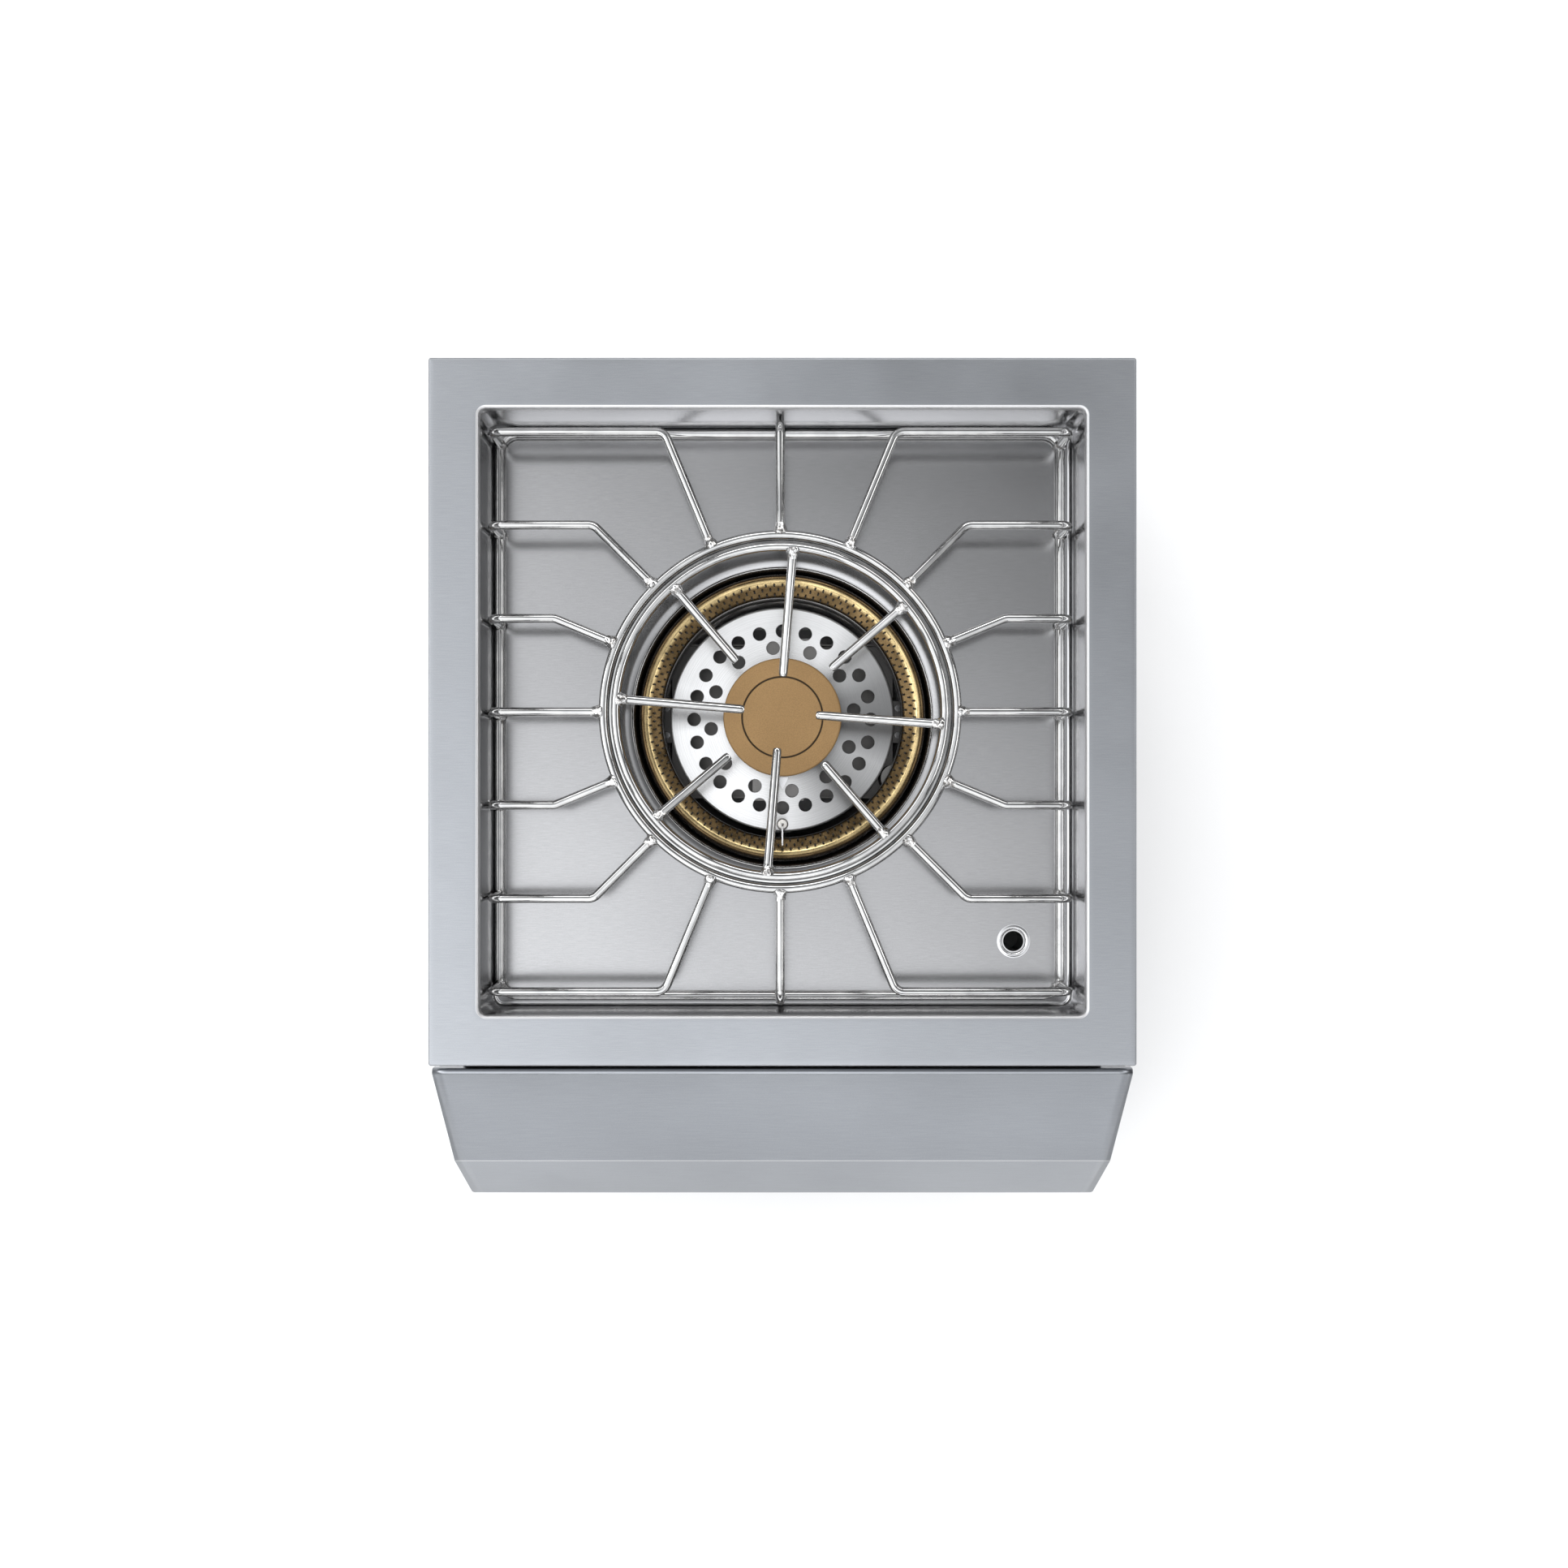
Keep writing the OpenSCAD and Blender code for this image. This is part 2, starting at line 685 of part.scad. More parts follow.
// Perforated disc around the centre burner, with two rings of air holes and a turned-down rim
module baffle_disc() color("whitesmoke") at_deck() {
  difference() {
    union() {
      translate([0, 0, disc_z - 1.5]) cylinder(h = 1.5, r = disc_r);
      translate([0, 0, disc_z - 7]) difference() {
        cylinder(h = 6, r = disc_r);
        translate([0, 0, -1]) cylinder(h = 8, r = disc_r - 1.5);
      }
    }
    translate([0, 0, disc_z - 10]) cylinder(h = 20, r = 44);
    for (i = [0:23]) rotate(15 * i)
      translate([82.7, 0, disc_z - 10]) cylinder(h = 20, r = disc_hole_r);
    for (i = [0:11]) rotate(7.5 + 30 * i)
      translate([67.3, 0, disc_z - 10]) cylinder(h = 20, r = disc_hole_r);
    translate([0, igniter_y, disc_z - 10]) cylinder(h = 20, r = 5.2);
  }
}

// ---------------------------------------------------------------- ignition

// Ceramic insulator that stands up through the perforated disc
module igniter_insulator() color("white") at_deck() translate([0, igniter_y, 0]) {
  difference() {
    union() {
      translate([0, 0, 154]) cylinder(h = 56, r = 3.2);
      translate([0, 0, 196]) cylinder(h = 14, r = 4.5);
      translate([0, 0, tab_z]) cylinder(h = 6, r = 6);
    }
    translate([0, 0, 150]) cylinder(h = 70, r = 1.2);
  }
}

// Electrode wire that rises out of the insulator and reaches over the ring burner's ports
module igniter_wire() color("silver") at_deck()
  bent_rod([
    [0, igniter_y, 150],
    [0, igniter_y, crest_z + 5],
    [0, igniter_y - 19, crest_z + 5]
  ], 0.9, 4);

// Pointed tab under the cap's edge that the centre burner's spark jumps to
module spark_target() color("silver") at_deck() translate([0, 0, 206])
  linear_extrude(1.2) polygon([[-5, -42], [5, -42], [5, -56], [0, -66], [-5, -56]]);

// Battery spark generator on the heat shield's front
module spark_module() color("black") at_deck() {
  translate([-30, front(shield_reach + 32.2), 120]) cube([60, 31, 40]);
  translate([0, front(spark_reach), 159]) cylinder(h = 10, r = 4);
}

// High-voltage lead from the spark module to the igniter
module ignition_lead() color("red") at_deck()
  bent_rod([
    [0, front(spark_reach), 168],
    [0, front(spark_reach), lead_z],
    [0, front(-30), lead_z],
    [0, front(-30), 140],
    [0, igniter_y, 140],
    [0, igniter_y, 151]
  ], 2, 8);

// ---------------------------------------------------------------- grate

// Rounded square of rod that stands on the well's floor
module grate_rails() color("silver") at_grate() {
  corner_r = 16;
  for (s = [-1, 1]) {
    straight_rod([s * leg_x, corner_r - rail_y, rail_z], [s * leg_x, rail_y - corner_r, rail_z], rod_r);
    straight_rod([corner_r - leg_x, s * rail_y, rail_z], [leg_x - corner_r, s * rail_y, rail_z], rod_r);
  }
  for (i = [0:3])
    translate([(i == 0 || i == 3 ? 1 : -1) * (leg_x - corner_r),
               (i < 2 ? 1 : -1) * (rail_y - corner_r), rail_z])
      rotate(90 * i) rotate_extrude(angle = 90) translate([corner_r, 0]) circle(rod_r);
}

// Points of one rod: up its leg, along its row, and in along its spoke to the ring
function grate_rod_points(side, row) =
  let (a = 22.5 * abs(row),
       y = row * row_pitch,
       leg = [[side * leg_x, y, rail_z], [side * leg_x, y, rod_z]],
       knee = row == 0 ? [] : [[side * abs(y) / tan(a), y, rod_z]],
       end = [[side * grate_ring_r * cos(a), sign(row) * grate_ring_r * sin(a), rod_z]])
  concat(leg, knee, end);

module grate_rods(side) color("silver") at_grate()
  for (row = [-3:3]) bent_rod(grate_rod_points(side, row), rod_r, bend_r);

// The two rods that run in from the front and the back
module grate_rods_middle() color("silver") at_grate()
  for (s = [-1, 1])
    bent_rod([
      [0, s * rail_y, rail_z],
      [0, s * rail_y, rod_z],
      [0, s * grate_ring_r, rod_z]
    ], rod_r, bend_r);

// Outer ring that the spokes are welded to, and the lower ring that the wok ring sits on
module grate_ring() color("silver") at_grate() {
  hoop(grate_ring_r, rod_z, rod_r);
  hoop(seat_ring_r, seat_ring_z, rod_r);
}

// Weld beads where the spokes meet the ring
module grate_welds() color("silver") at_grate()
  for (i = [0:15]) rotate(22.5 * i)
    translate([grate_ring_r + rod_r + 0.6, 0, rod_z]) sphere(r = 5.2, $fn = 32);

// ---------------------------------------------------------------- wok ring

module at_wok_ring() at_grate() rotate(-wok_turn) children();

module wok_hoop() color("silver") at_wok_ring() hoop(wok_r, wok_z, rod_r);

function finger_z(r) = wok_z - finger_fall * (wok_r - r);

// Eight straight fingers, long and short in turn, that fall gently towards the middle
module wok_fingers() color("silver") at_wok_ring()
  for (i = [0:7]) rotate(45 * i) {
    tip = i % 2 == 0 ? long_tip_r : short_tip_r;
    root = wok_r - 3;
    straight_rod([root, 0, finger_z(root)], [tip, 0, finger_z(tip)], rod_r);
  }

module wok_welds() color("silver") at_wok_ring()
  for (i = [0:7]) rotate(45 * i)
    translate([wok_r - rod_r - 0.6, 0, wok_z]) sphere(r = 5.2, $fn = 32);

// ---------------------------------------------------------------- fasteners

// Screws through the lower edge of both side plates and the rear plate
module casing_screws() color("silver") at_deck() {
  for (side = [-1, 1], y = [-240, -80, 80, 240])
    translate([side * casing_w / 2, y, 14]) rotate([0, side * 90, 0]) screw(4, 1.8, 8);
  for (x = [-240, -80, 80])
    translate([x, casing_w / 2, 14]) rotate([-90, 0, 0]) screw(4, 1.8, 8);
}

// Screws that hold the control panel to its two end plates
module panel_screws() color("silver") at_deck()
  for (x = [-1, 1], z = [16, 104])
    translate([x * (panel_w / 2 - 12), front(face_reach), z]) rotate([90, 0, 0]) screw(3.5, 1.6, 8);

// Two screws through each bezel
module bezel_screws() color("silver") at_deck()
  for (x = [-knob_x, knob_x], side = [-1, 1])
    translate([x + side * (knob_r + 4.5), front(face_reach + 4), knob_z])
      rotate([90, 0, 0]) screw(1.6, 1, 9);

// Screws that hold the bracket to the bowl's flange
module bracket_screws() color("silver") at_deck()
  for (x = [-1, 1], y = [-13, 13])
    translate([x * 111, y, bracket_z + 1.5]) screw(3, 1.5, 6);

// ---------------------------------------------------------------- assembly

deck_frame();
well_walls();
well_floor();
burner_bowl();
drain_spout();
casing_side(-1);  // casing_left
casing_side(1);  // casing_right
casing_rear();
base_plate();
heat_shield();
control_panel();
panel_end(-panel_w / 2);  // panel_end_left
panel_end(panel_w / 2 - sheet);  // panel_end_right
bezel(-knob_x);  // bezel_left
bezel(knob_x);  // bezel_right
control_knob(-knob_x);  // control_knob_left
control_knob(knob_x);  // control_knob_right
valve_stem(-knob_x);  // valve_stem_left
valve_stem(knob_x);  // valve_stem_right
thrust_collar(-knob_x);  // thrust_collar_left
thrust_collar(knob_x);  // thrust_collar_right
return_spring(-knob_x);  // return_spring_left
return_spring(knob_x);  // return_spring_right
valve_body(-knob_x);  // valve_body_left
valve_body(knob_x);  // valve_body_right
orifice(-knob_x);  // orifice_left
orifice(knob_x);  // orifice_right
manifold_pipe();
supply_pipe();
gas_inlet();
air_shutter(-knob_x);  // air_shutter_left
air_shutter(knob_x);  // air_shutter_right
centre_mixer_tube();
ring_mixer_tube();
burner_bracket();
burner_posts();
ring_burner_base();
ring_burner_head();
centre_burner_base();
centre_burner_head();
centre_burner_cap();
baffle_disc();
igniter_insulator();
igniter_wire();
spark_target();
spark_module();
ignition_lead();
grate_rails();
grate_rods(-1);  // grate_rods_left
grate_rods(1);  // grate_rods_right
grate_rods_middle();
grate_ring();
grate_welds();
wok_hoop();
wok_fingers();
wok_welds();
casing_screws();
panel_screws();
bezel_screws();
bracket_screws();
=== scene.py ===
"""Looks of a built-in outdoor gas power burner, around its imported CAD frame.

Shapes are given in millimetres from the middle of the deck, with z = 0 at the casing's underside.
"""
import json
import math
import bmesh
import bpy
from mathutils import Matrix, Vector, noise


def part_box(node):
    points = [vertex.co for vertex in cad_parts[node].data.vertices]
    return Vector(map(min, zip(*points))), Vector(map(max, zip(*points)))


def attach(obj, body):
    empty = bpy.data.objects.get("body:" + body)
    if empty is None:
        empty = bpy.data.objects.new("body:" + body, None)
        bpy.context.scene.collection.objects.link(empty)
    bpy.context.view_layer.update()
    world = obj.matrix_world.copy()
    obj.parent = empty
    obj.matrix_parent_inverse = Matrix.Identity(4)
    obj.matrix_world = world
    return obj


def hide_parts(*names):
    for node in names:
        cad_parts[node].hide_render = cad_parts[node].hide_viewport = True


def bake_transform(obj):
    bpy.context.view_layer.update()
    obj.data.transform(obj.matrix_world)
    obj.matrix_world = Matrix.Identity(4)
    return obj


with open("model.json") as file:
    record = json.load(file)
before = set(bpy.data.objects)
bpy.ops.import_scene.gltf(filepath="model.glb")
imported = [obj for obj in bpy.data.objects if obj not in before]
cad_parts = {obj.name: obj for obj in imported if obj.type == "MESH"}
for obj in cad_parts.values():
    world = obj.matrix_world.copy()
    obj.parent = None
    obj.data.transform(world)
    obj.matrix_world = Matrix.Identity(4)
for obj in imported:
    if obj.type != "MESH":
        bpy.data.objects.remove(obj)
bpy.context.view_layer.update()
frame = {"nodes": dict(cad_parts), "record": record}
scene = bpy.context.scene


# ---------------------------------------------------------------- places taken from the frame

def box_mm(node):
    low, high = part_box(node)
    return low * 1000, high * 1000


deck_low, deck_high = box_mm("deck_frame")
DECK_Y = (deck_low.y + deck_high.y) / 2
HALF = (deck_high.x - deck_low.x) / 2
TOP = deck_high.z
RIM_Z = deck_low.z
BORDER = 43.5
OPENING = HALF - BORDER
ROD = (box_mm("grate_rods_middle")[1].x - box_mm("grate_rods_middle")[0].x) / 2
ROD_Z = box_mm("grate_rods_middle")[1].z - ROD
rails_low, rails_high = box_mm("grate_rails")
RAIL_Z = rails_low.z + ROD
RAIL_X = (rails_high.x - rails_low.x) / 2 - ROD
RAIL_Y = (rails_high.y - rails_low.y) / 2 - ROD
GRATE_SHIFT = Vector(((rails_low.x + rails_high.x) / 2, (rails_low.y + rails_high.y) / 2 - DECK_Y, 0))
FLOOR_Z = box_mm("well_floor")[1].z
RING_R = 155.5
SEAT_IN = 6.5
SEAT_DOWN = 4.5
PITCH = 82
BEND = 11
WOK_R = 144.5
WOK_TURN = math.radians(-4.5)
WOK_Z = box_mm("wok_hoop")[1].z - ROD
BRASS_IN = 110.2
BRASS_OUT = 130.8
CREST_Z = box_mm("ring_burner_head")[1].z
SEAM_Z = box_mm("ring_burner_head")[0].z
DISC_Z = box_mm("baffle_disc")[1].z
CAP_TOP = box_mm("centre_burner_cap")[1].z
KNOB_X = 105
KNOB_Z = 64
FACE_REACH = 129
PANEL_REACH = 154
IGNITER_Y = -98
DRAIN = (211, -204.5)


def front(reach):
    """y of a point that lies a given distance in front of the deck."""
    return -HALF - reach


# ---------------------------------------------------------------- mesh helpers

class Shape:
    """Points and faces gathered from several simple forms."""

    def __init__(self):
        self.points = []
        self.faces = []
        self.marked = []

    def rings(self, loops, wrap=False, start_cap=False, end_cap=False):
        """Skins loops that have the same number of points."""
        first = len(self.points)
        count = len(loops[0])
        for loop in loops:
            self.points.extend(Vector(p) for p in loop)
        for i in range(len(loops) if wrap else len(loops) - 1):
            near = first + i * count
            far = first + (i + 1) % len(loops) * count
            for k in range(count):
                after = (k + 1) % count
                self.faces.append((near + k, near + after, far + after, far + k))
        if start_cap:
            self.faces.append([first + k for k in reversed(range(count))])
        if end_cap:
            self.faces.append([first + (len(loops) - 1) * count + k for k in range(count)])
        return self

    def flat(self, outline, holes=()):
        """Fills a level outline, less its holes, with triangles."""
        bm = bmesh.new()
        for loop in [outline, *holes]:
            corners = [bm.verts.new(p) for p in loop]
            for a, b in zip(corners, corners[1:] + corners[:1]):
                bm.edges.new((a, b))
        bmesh.ops.triangle_fill(bm, use_beauty=True, edges=bm.edges[:], normal=(0, 0, 1))
        bm.verts.index_update()
        first = len(self.points)
        self.points.extend(v.co.copy() for v in bm.verts)
        self.faces.extend([first + v.index for v in f.verts] for f in bm.faces)
        bm.free()
        return self

    def mark_from(self, first):
        """Marks every face added since a count of faces, so that it takes the piece's second material."""
        self.marked.extend(range(first, len(self.faces)))
        return self

    def moved(self, move):
        """Passes every point through a function."""
        self.points = [move(p) for p in self.points]
        return self


def piece(name, shape, material, body, replaces=(), sharp=40, thickness=0, closed=True,
          second=None):
    """Makes one object of a shape.

    A thickness turns an open skin into sheet metal. The second material paints the marked faces.
    """
    mesh = bpy.data.meshes.new(name)
    mesh.from_pydata([(Vector(p) + Vector((0, DECK_Y, 0))) / 1000 for p in shape.points], [], shape.faces)
    for i in shape.marked:
        mesh.polygons[i].material_index = 1
    bm = bmesh.new()
    bm.from_mesh(mesh)
    bmesh.ops.remove_doubles(bm, verts=bm.verts, dist=2e-6)
    bmesh.ops.dissolve_degenerate(bm, dist=1e-6, edges=bm.edges)
    if closed:
        bmesh.ops.recalc_face_normals(bm, faces=bm.faces)
    bm.to_mesh(mesh)
    bm.free()
    mesh.shade_smooth()
    mesh.set_sharp_from_angle(angle=math.radians(sharp))
    mesh.materials.append(material)
    if second:
        mesh.materials.append(second)
    obj = bpy.data.objects.new(name, mesh)
    scene.collection.objects.link(obj)
    if thickness:
        solid = obj.modifiers.new("thickness", "SOLIDIFY")
        solid.thickness = thickness / 1000
        solid.offset = -1
    if body:
        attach(obj, body)
    if replaces:
        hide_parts(*replaces)
    return obj


def circle(r, z, count, x=0, y=0):
    """A level loop of evenly spaced points."""
    turns = (2 * math.pi * k / count for k in range(count))
    return [Vector((x + r * math.cos(a), y + r * math.sin(a), z)) for a in turns]


def rounded_square(half, corner, z, steps=8):
    """A level square loop with rounded corners."""
    points = []
    inner = half - corner
    for quarter, (sx, sy) in enumerate([(1, 1), (-1, 1), (-1, -1), (1, -1)]):
        for k in range(steps + 1):
            a = math.pi / 2 * (quarter + k / steps)
            points.append(Vector((sx * inner + corner * math.cos(a), sy * inner + corner * math.sin(a), z)))
    return points


def bent(corners, radius, steps=8, closed=False):
    """A path of points with an arc in place of each corner. radius may be a list."""
    points = []
    count = len(corners)
    for i, corner in enumerate(corners):
        corner = Vector(corner)
        bend = radius[i] if isinstance(radius, (list, tuple)) else radius
        if bend == 0 or (not closed and i in (0, count - 1)):
            points.append(corner)
            continue
        before = (Vector(corners[i - 1]) - corner).normalized()
        after = (Vector(corners[(i + 1) % count]) - corner).normalized()
        half = before.angle(after) / 2
        centre = corner + (before + after).normalized() * bend / math.sin(half)
        start = (corner + before * bend / math.tan(half) - centre).normalized()
        end = (corner + after * bend / math.tan(half) - centre).normalized()
        for k in range(steps + 1):
            points.append(centre + start.slerp(end, k / steps) * bend)
    return points


def tube(points, radius, sides, closed=False):
    """Loops of a round rod along a path. radius is a number, or one number for each point."""
    loops = []
    count = len(points)
    side = None
    for i, point in enumerate(points):
        before = points[i - 1] if closed or i > 0 else point
        after = points[(i + 1) % count] if closed or i < count - 1 else point
        along = (after - before).normalized()
        side = along.orthogonal() if side is None else side - along * side.dot(along)
        side.normalize()
        other = along.cross(side)
        r = radius[i] if isinstance(radius, (list, tuple)) else radius
        turns = (2 * math.pi * k / sides for k in range(sides))
        loops.append([point + (side * math.cos(a) + other * math.sin(a)) * r for a in turns])
    return loops


def rod(shape, corners, bend=BEND, radius=ROD, ends=(True, True), sides=20):
    """Adds a rod along a path, with deburred ends."""
    path = bent(corners, bend)
    radii = [radius] * len(path)
    for end, wanted in zip((0, -1), ends):
        if not wanted:
            continue
        tip = path[end].copy()
        inward = (path[1 if end == 0 else -2] - tip).normalized()
        steps = [(0, 0.80), (0.18, 0.90), (0.5, 0.97), (0.95, 1.0)]
        extra = [(tip + inward * radius * d, radius * share) for d, share in steps]
        if end == 0:
            path[:1] = [p for p, _ in extra]
            radii[:1] = [r for _, r in extra]
        else:
            path[-1:] = [p for p, _ in reversed(extra)]
            radii[-1:] = [r for _, r in reversed(extra)]
    return shape.rings(tube(path, radii, sides), start_cap=True, end_cap=True)


def hoop(shape, radius, z):
    """Adds a closed hoop of rod."""
    return shape.rings(tube(circle(radius, z, 192), ROD, 24, closed=True), wrap=True)


def weld(shape, at, along, seed, reach=9.5, spread=1.0):
    """Adds a lumpy fillet of weld metal round a rod's end."""
    along = along.normalized()
    flare = [(-1.0, 5.6), (0.8, 6.5), (2.4, 6.2), (4.0, 5.5), (5.6, 4.9), (7.4, 4.4), (reach, 3.85)]
    loops = tube([at + along * d for d, _ in flare], [r * spread for _, r in flare], 28)
    middles = [at + along * d for d, _ in flare]
    for loop, middle in zip(loops, middles):
        for k, p in enumerate(loop):
            place = p + Vector((seed * 7.3, seed, 0))
            lump = 1.2 * noise.noise(place * 0.32) + 0.5 * noise.noise(place * 0.9)
            loop[k] = p + (p - middle).normalized() * lump
    return shape.rings(loops, start_cap=True, end_cap=True)


def revolve(shape, profile, count, x=0, y=0):
    """Adds a closed solid of revolution about a vertical line. The profile runs anticlockwise."""
    return shape.rings([circle(r, z, count, x, y) for r, z in profile], wrap=True)


def facing_front(shape, x, z):
    """Turns a shape made about the Z axis so that its Z runs towards the front."""
    return shape.moved(lambda p: Vector((x + p.x, front(p.z), z + p.y)))


# ---------------------------------------------------------------- materials

class Paint:
    """A material's node tree, with short calls for what every metal here needs."""

    def __init__(self, name, color, metallic, roughness):
        self.material = bpy.data.materials.new(name)
        self.material.use_nodes = True
        self.nodes = self.material.node_tree.nodes
        self.links = self.material.node_tree.links
        self.shader = self.nodes["Principled BSDF"]
        self.shader.inputs["Base Color"].default_value = (*color, 1)
        self.shader.inputs["Metallic"].default_value = metallic
        self.shader.inputs["Roughness"].default_value = roughness
        self.place = self.add("ShaderNodeTexCoord").outputs["Object"]

    def add(self, kind, **values):
        node = self.nodes.new(kind)
        for key, value in values.items():
            setattr(node, key, value)
        return node

    def noise(self, scale, stretch=(1, 1, 1), detail=3.0, rough=0.5, place=None):
        """A noise pattern, with scale in repeats per metre and stretch as a factor on each axis."""
        mapping = self.add("ShaderNodeMapping")
        mapping.inputs["Scale"].default_value = stretch
        self.links.new(place or self.place, mapping.inputs["Vector"])
        texture = self.add("ShaderNodeTexNoise")
        texture.inputs["Scale"].default_value = scale
        texture.inputs["Detail"].default_value = detail
        texture.inputs["Roughness"].default_value = rough
        self.links.new(mapping.outputs["Vector"], texture.inputs["Vector"])
        return texture.outputs["Fac"]

    def ramp(self, source, *stops):
        """Maps a value to a colour. Each stop is a place and a colour, or a place and a grey."""
        node = self.add("ShaderNodeValToRGB")
        while len(node.color_ramp.elements) < len(stops):
            node.color_ramp.elements.new(0.5)
        for element, (place, color) in zip(node.color_ramp.elements, stops):
            element.position = place
            grey = isinstance(color, (int, float))
            element.color = (color, color, color, 1) if grey else (*color, 1)
        self.links.new(source, node.inputs["Fac"])
        return node.outputs["Color"]

    def multiply(self, a, b):
        node = self.add("ShaderNodeMix", data_type="RGBA", blend_type="MULTIPLY")
        node.inputs["Factor"].default_value = 1
        self.links.new(a, node.inputs["A"])
        self.links.new(b, node.inputs["B"])
        return node.outputs["Result"]

    def color(self, source):
        self.links.new(source, self.shader.inputs["Base Color"])

    def roughness(self, source):
        self.links.new(source, self.shader.inputs["Roughness"])

    def bump(self, source, height):
        """Raises the surface by a height in metres."""
        node = self.add("ShaderNodeBump")
        node.inputs["Strength"].default_value = 1
        node.inputs["Distance"].default_value = height
        self.links.new(source, node.inputs["Height"])
        self.links.new(node.outputs["Normal"], self.shader.inputs["Normal"])

    def around_burner(self):
        """Distance from the burner's axis in metres, and the turn about it, 0 to 1 from the left side."""
        level = self.add("ShaderNodeMapping")
        level.inputs["Location"].default_value = (0, -DECK_Y / 1000, 0)
        level.inputs["Scale"].default_value = (1, 1, 0)
        self.links.new(self.place, level.inputs["Vector"])
        distance = self.add("ShaderNodeVectorMath", operation="LENGTH")
        self.links.new(level.outputs["Vector"], distance.inputs[0])
        turn = self.add("ShaderNodeTexGradient", gradient_type="RADIAL")
        self.links.new(level.outputs["Vector"], turn.inputs["Vector"])
        return distance.outputs["Value"], turn.outputs["Fac"]

    def turned(self, amount):
        """Stretches highlights across fine turning marks about the piece's middle."""
        tangent = self.add("ShaderNodeTangent", direction_type="RADIAL", axis="Z")
        self.links.new(tangent.outputs["Tangent"], self.shader.inputs["Tangent"])
        self.shader.inputs["Anisotropic"].default_value = amount
        self.shader.inputs["Anisotropic Rotation"].default_value = 0.25


def brushed_steel(name, color, roughness, grain, smudge=0.06):
    """Rolled or brushed stainless sheet. grain stretches the brush marks along one axis."""
    paint = Paint(name, color, 1.0, roughness)
    light = [c * (1 + smudge) for c in color]
    dark = [c * (1 - smudge) for c in color]
    tint = paint.ramp(paint.noise(5, detail=2), (0.3, dark), (0.7, light))
    lines = paint.ramp(paint.noise(1500, grain, detail=4), (0.35, 0.93), (0.65, 1.0))
    specks = paint.ramp(paint.noise(1300, detail=2, rough=0.7), (0.3, 0.90), (0.7, 1.0))
    paint.color(paint.multiply(paint.multiply(tint, lines), specks))
    paint.roughness(paint.ramp(paint.noise(9, detail=3), (0.3, roughness * 0.88), (0.7, roughness * 1.12)))
    paint.bump(paint.noise(2200, grain, detail=2), 1.2e-6)
    return paint.material


def polished_rod(name):
    """Electropolished rod: mirror bright, with faint drawing lines and dull patches."""
    paint = Paint(name, (0.62, 0.62, 0.62), 1.0, 0.12)
    tint = paint.ramp(paint.noise(60, detail=3), (0.3, (0.42, 0.42, 0.42)), (0.7, (0.54, 0.54, 0.535)))
    paint.color(tint)
    paint.roughness(paint.ramp(paint.noise(140, detail=4), (0.35, 0.06), (0.7, 0.15)))
    paint.bump(paint.noise(420, detail=3), 8e-6)
    return paint.material


def weld_metal(name):
    """Bright weld metal with heat tints and a rippled skin."""
    paint = Paint(name, (0.6, 0.6, 0.6), 1.0, 0.2)
    tint = paint.ramp(paint.noise(260, detail=3), (0.35, (0.26, 0.25, 0.24)), (0.6, (0.80, 0.80, 0.80)))
    paint.color(tint)
    paint.roughness(paint.ramp(paint.noise(500, detail=3), (0.3, 0.08), (0.7, 0.28)))
    paint.bump(paint.noise(520, detail=3), 3.2e-4)
    return paint.material


def cast_brass(name, light, dark, roughness):
    """Machined brass that heat has browned in patches."""
    paint = Paint(name, light, 1.0, roughness)
    tint = paint.ramp(paint.noise(38, detail=5, rough=0.6), (0.38, dark), (0.62, light))
    specks = paint.ramp(paint.noise(900, detail=3), (0.4, 0.82), (0.6, 1.0))
    paint.color(paint.multiply(tint, specks))
    paint.roughness(paint.ramp(paint.noise(120, detail=4), (0.3, roughness * 0.7), (0.7, roughness * 1.4)))
    paint.bump(paint.noise(800, detail=3), 2e-5)
    return paint.material


def ring_brass(name):
    """Machined brass coloured by distance from the burner's axis: a painted highlight of bright gold on the
    crest, brown on the slopes either side, and painted shade, near black, at the inner and outer edges.
    """
    brown, dark, crest_highlight_gold = (0.20, 0.135, 0.065), (0.035, 0.024, 0.014), (0.70, 0.54, 0.28)
    paint = Paint(name, crest_highlight_gold, 1.0, 0.24)
    distance, _ = paint.around_burner()
    share = paint.add("ShaderNodeMapRange")
    inner, outer = 0.110, 0.131
    share.inputs["From Min"].default_value = inner
    share.inputs["From Max"].default_value = outer
    paint.links.new(distance, share.inputs["Value"])
    # Painted light by radius: the gold stops on the crest are a painted highlight, the near-black stops at
    # both edges are painted shade.
    tint = paint.ramp(share.outputs["Result"], (0.02, dark), (0.14, brown), (0.46, brown),
                      (0.54, crest_highlight_gold), (0.68, crest_highlight_gold), (0.78, brown), (0.88, dark))
    patches = paint.ramp(paint.noise(38, detail=5, rough=0.6), (0.38, 0.62), (0.62, 1.0))
    specks = paint.ramp(paint.noise(900, detail=3), (0.4, 0.80), (0.6, 1.0))
    paint.color(paint.multiply(paint.multiply(tint, patches), specks))
    paint.roughness(paint.ramp(paint.noise(120, detail=4), (0.3, 0.17), (0.7, 0.34)))
    paint.bump(paint.noise(800, detail=3), 1e-5)
    return paint.material


def cap_coat(name):
    """Matte tan coating with a fine sandy grain."""
    paint = Paint(name, (0.44, 0.27, 0.11), 0.35, 0.62)
    base = paint.ramp(paint.noise(14, detail=3), (0.3, (0.29, 0.175, 0.070)), (0.7, (0.335, 0.205, 0.085)))
    grain = paint.ramp(paint.noise(1900, detail=2, rough=0.7), (0.35, 0.78), (0.65, 1.1))
    paint.color(paint.multiply(base, grain))
    paint.bump(paint.noise(1500, detail=3), 6e-5)
    return paint.material


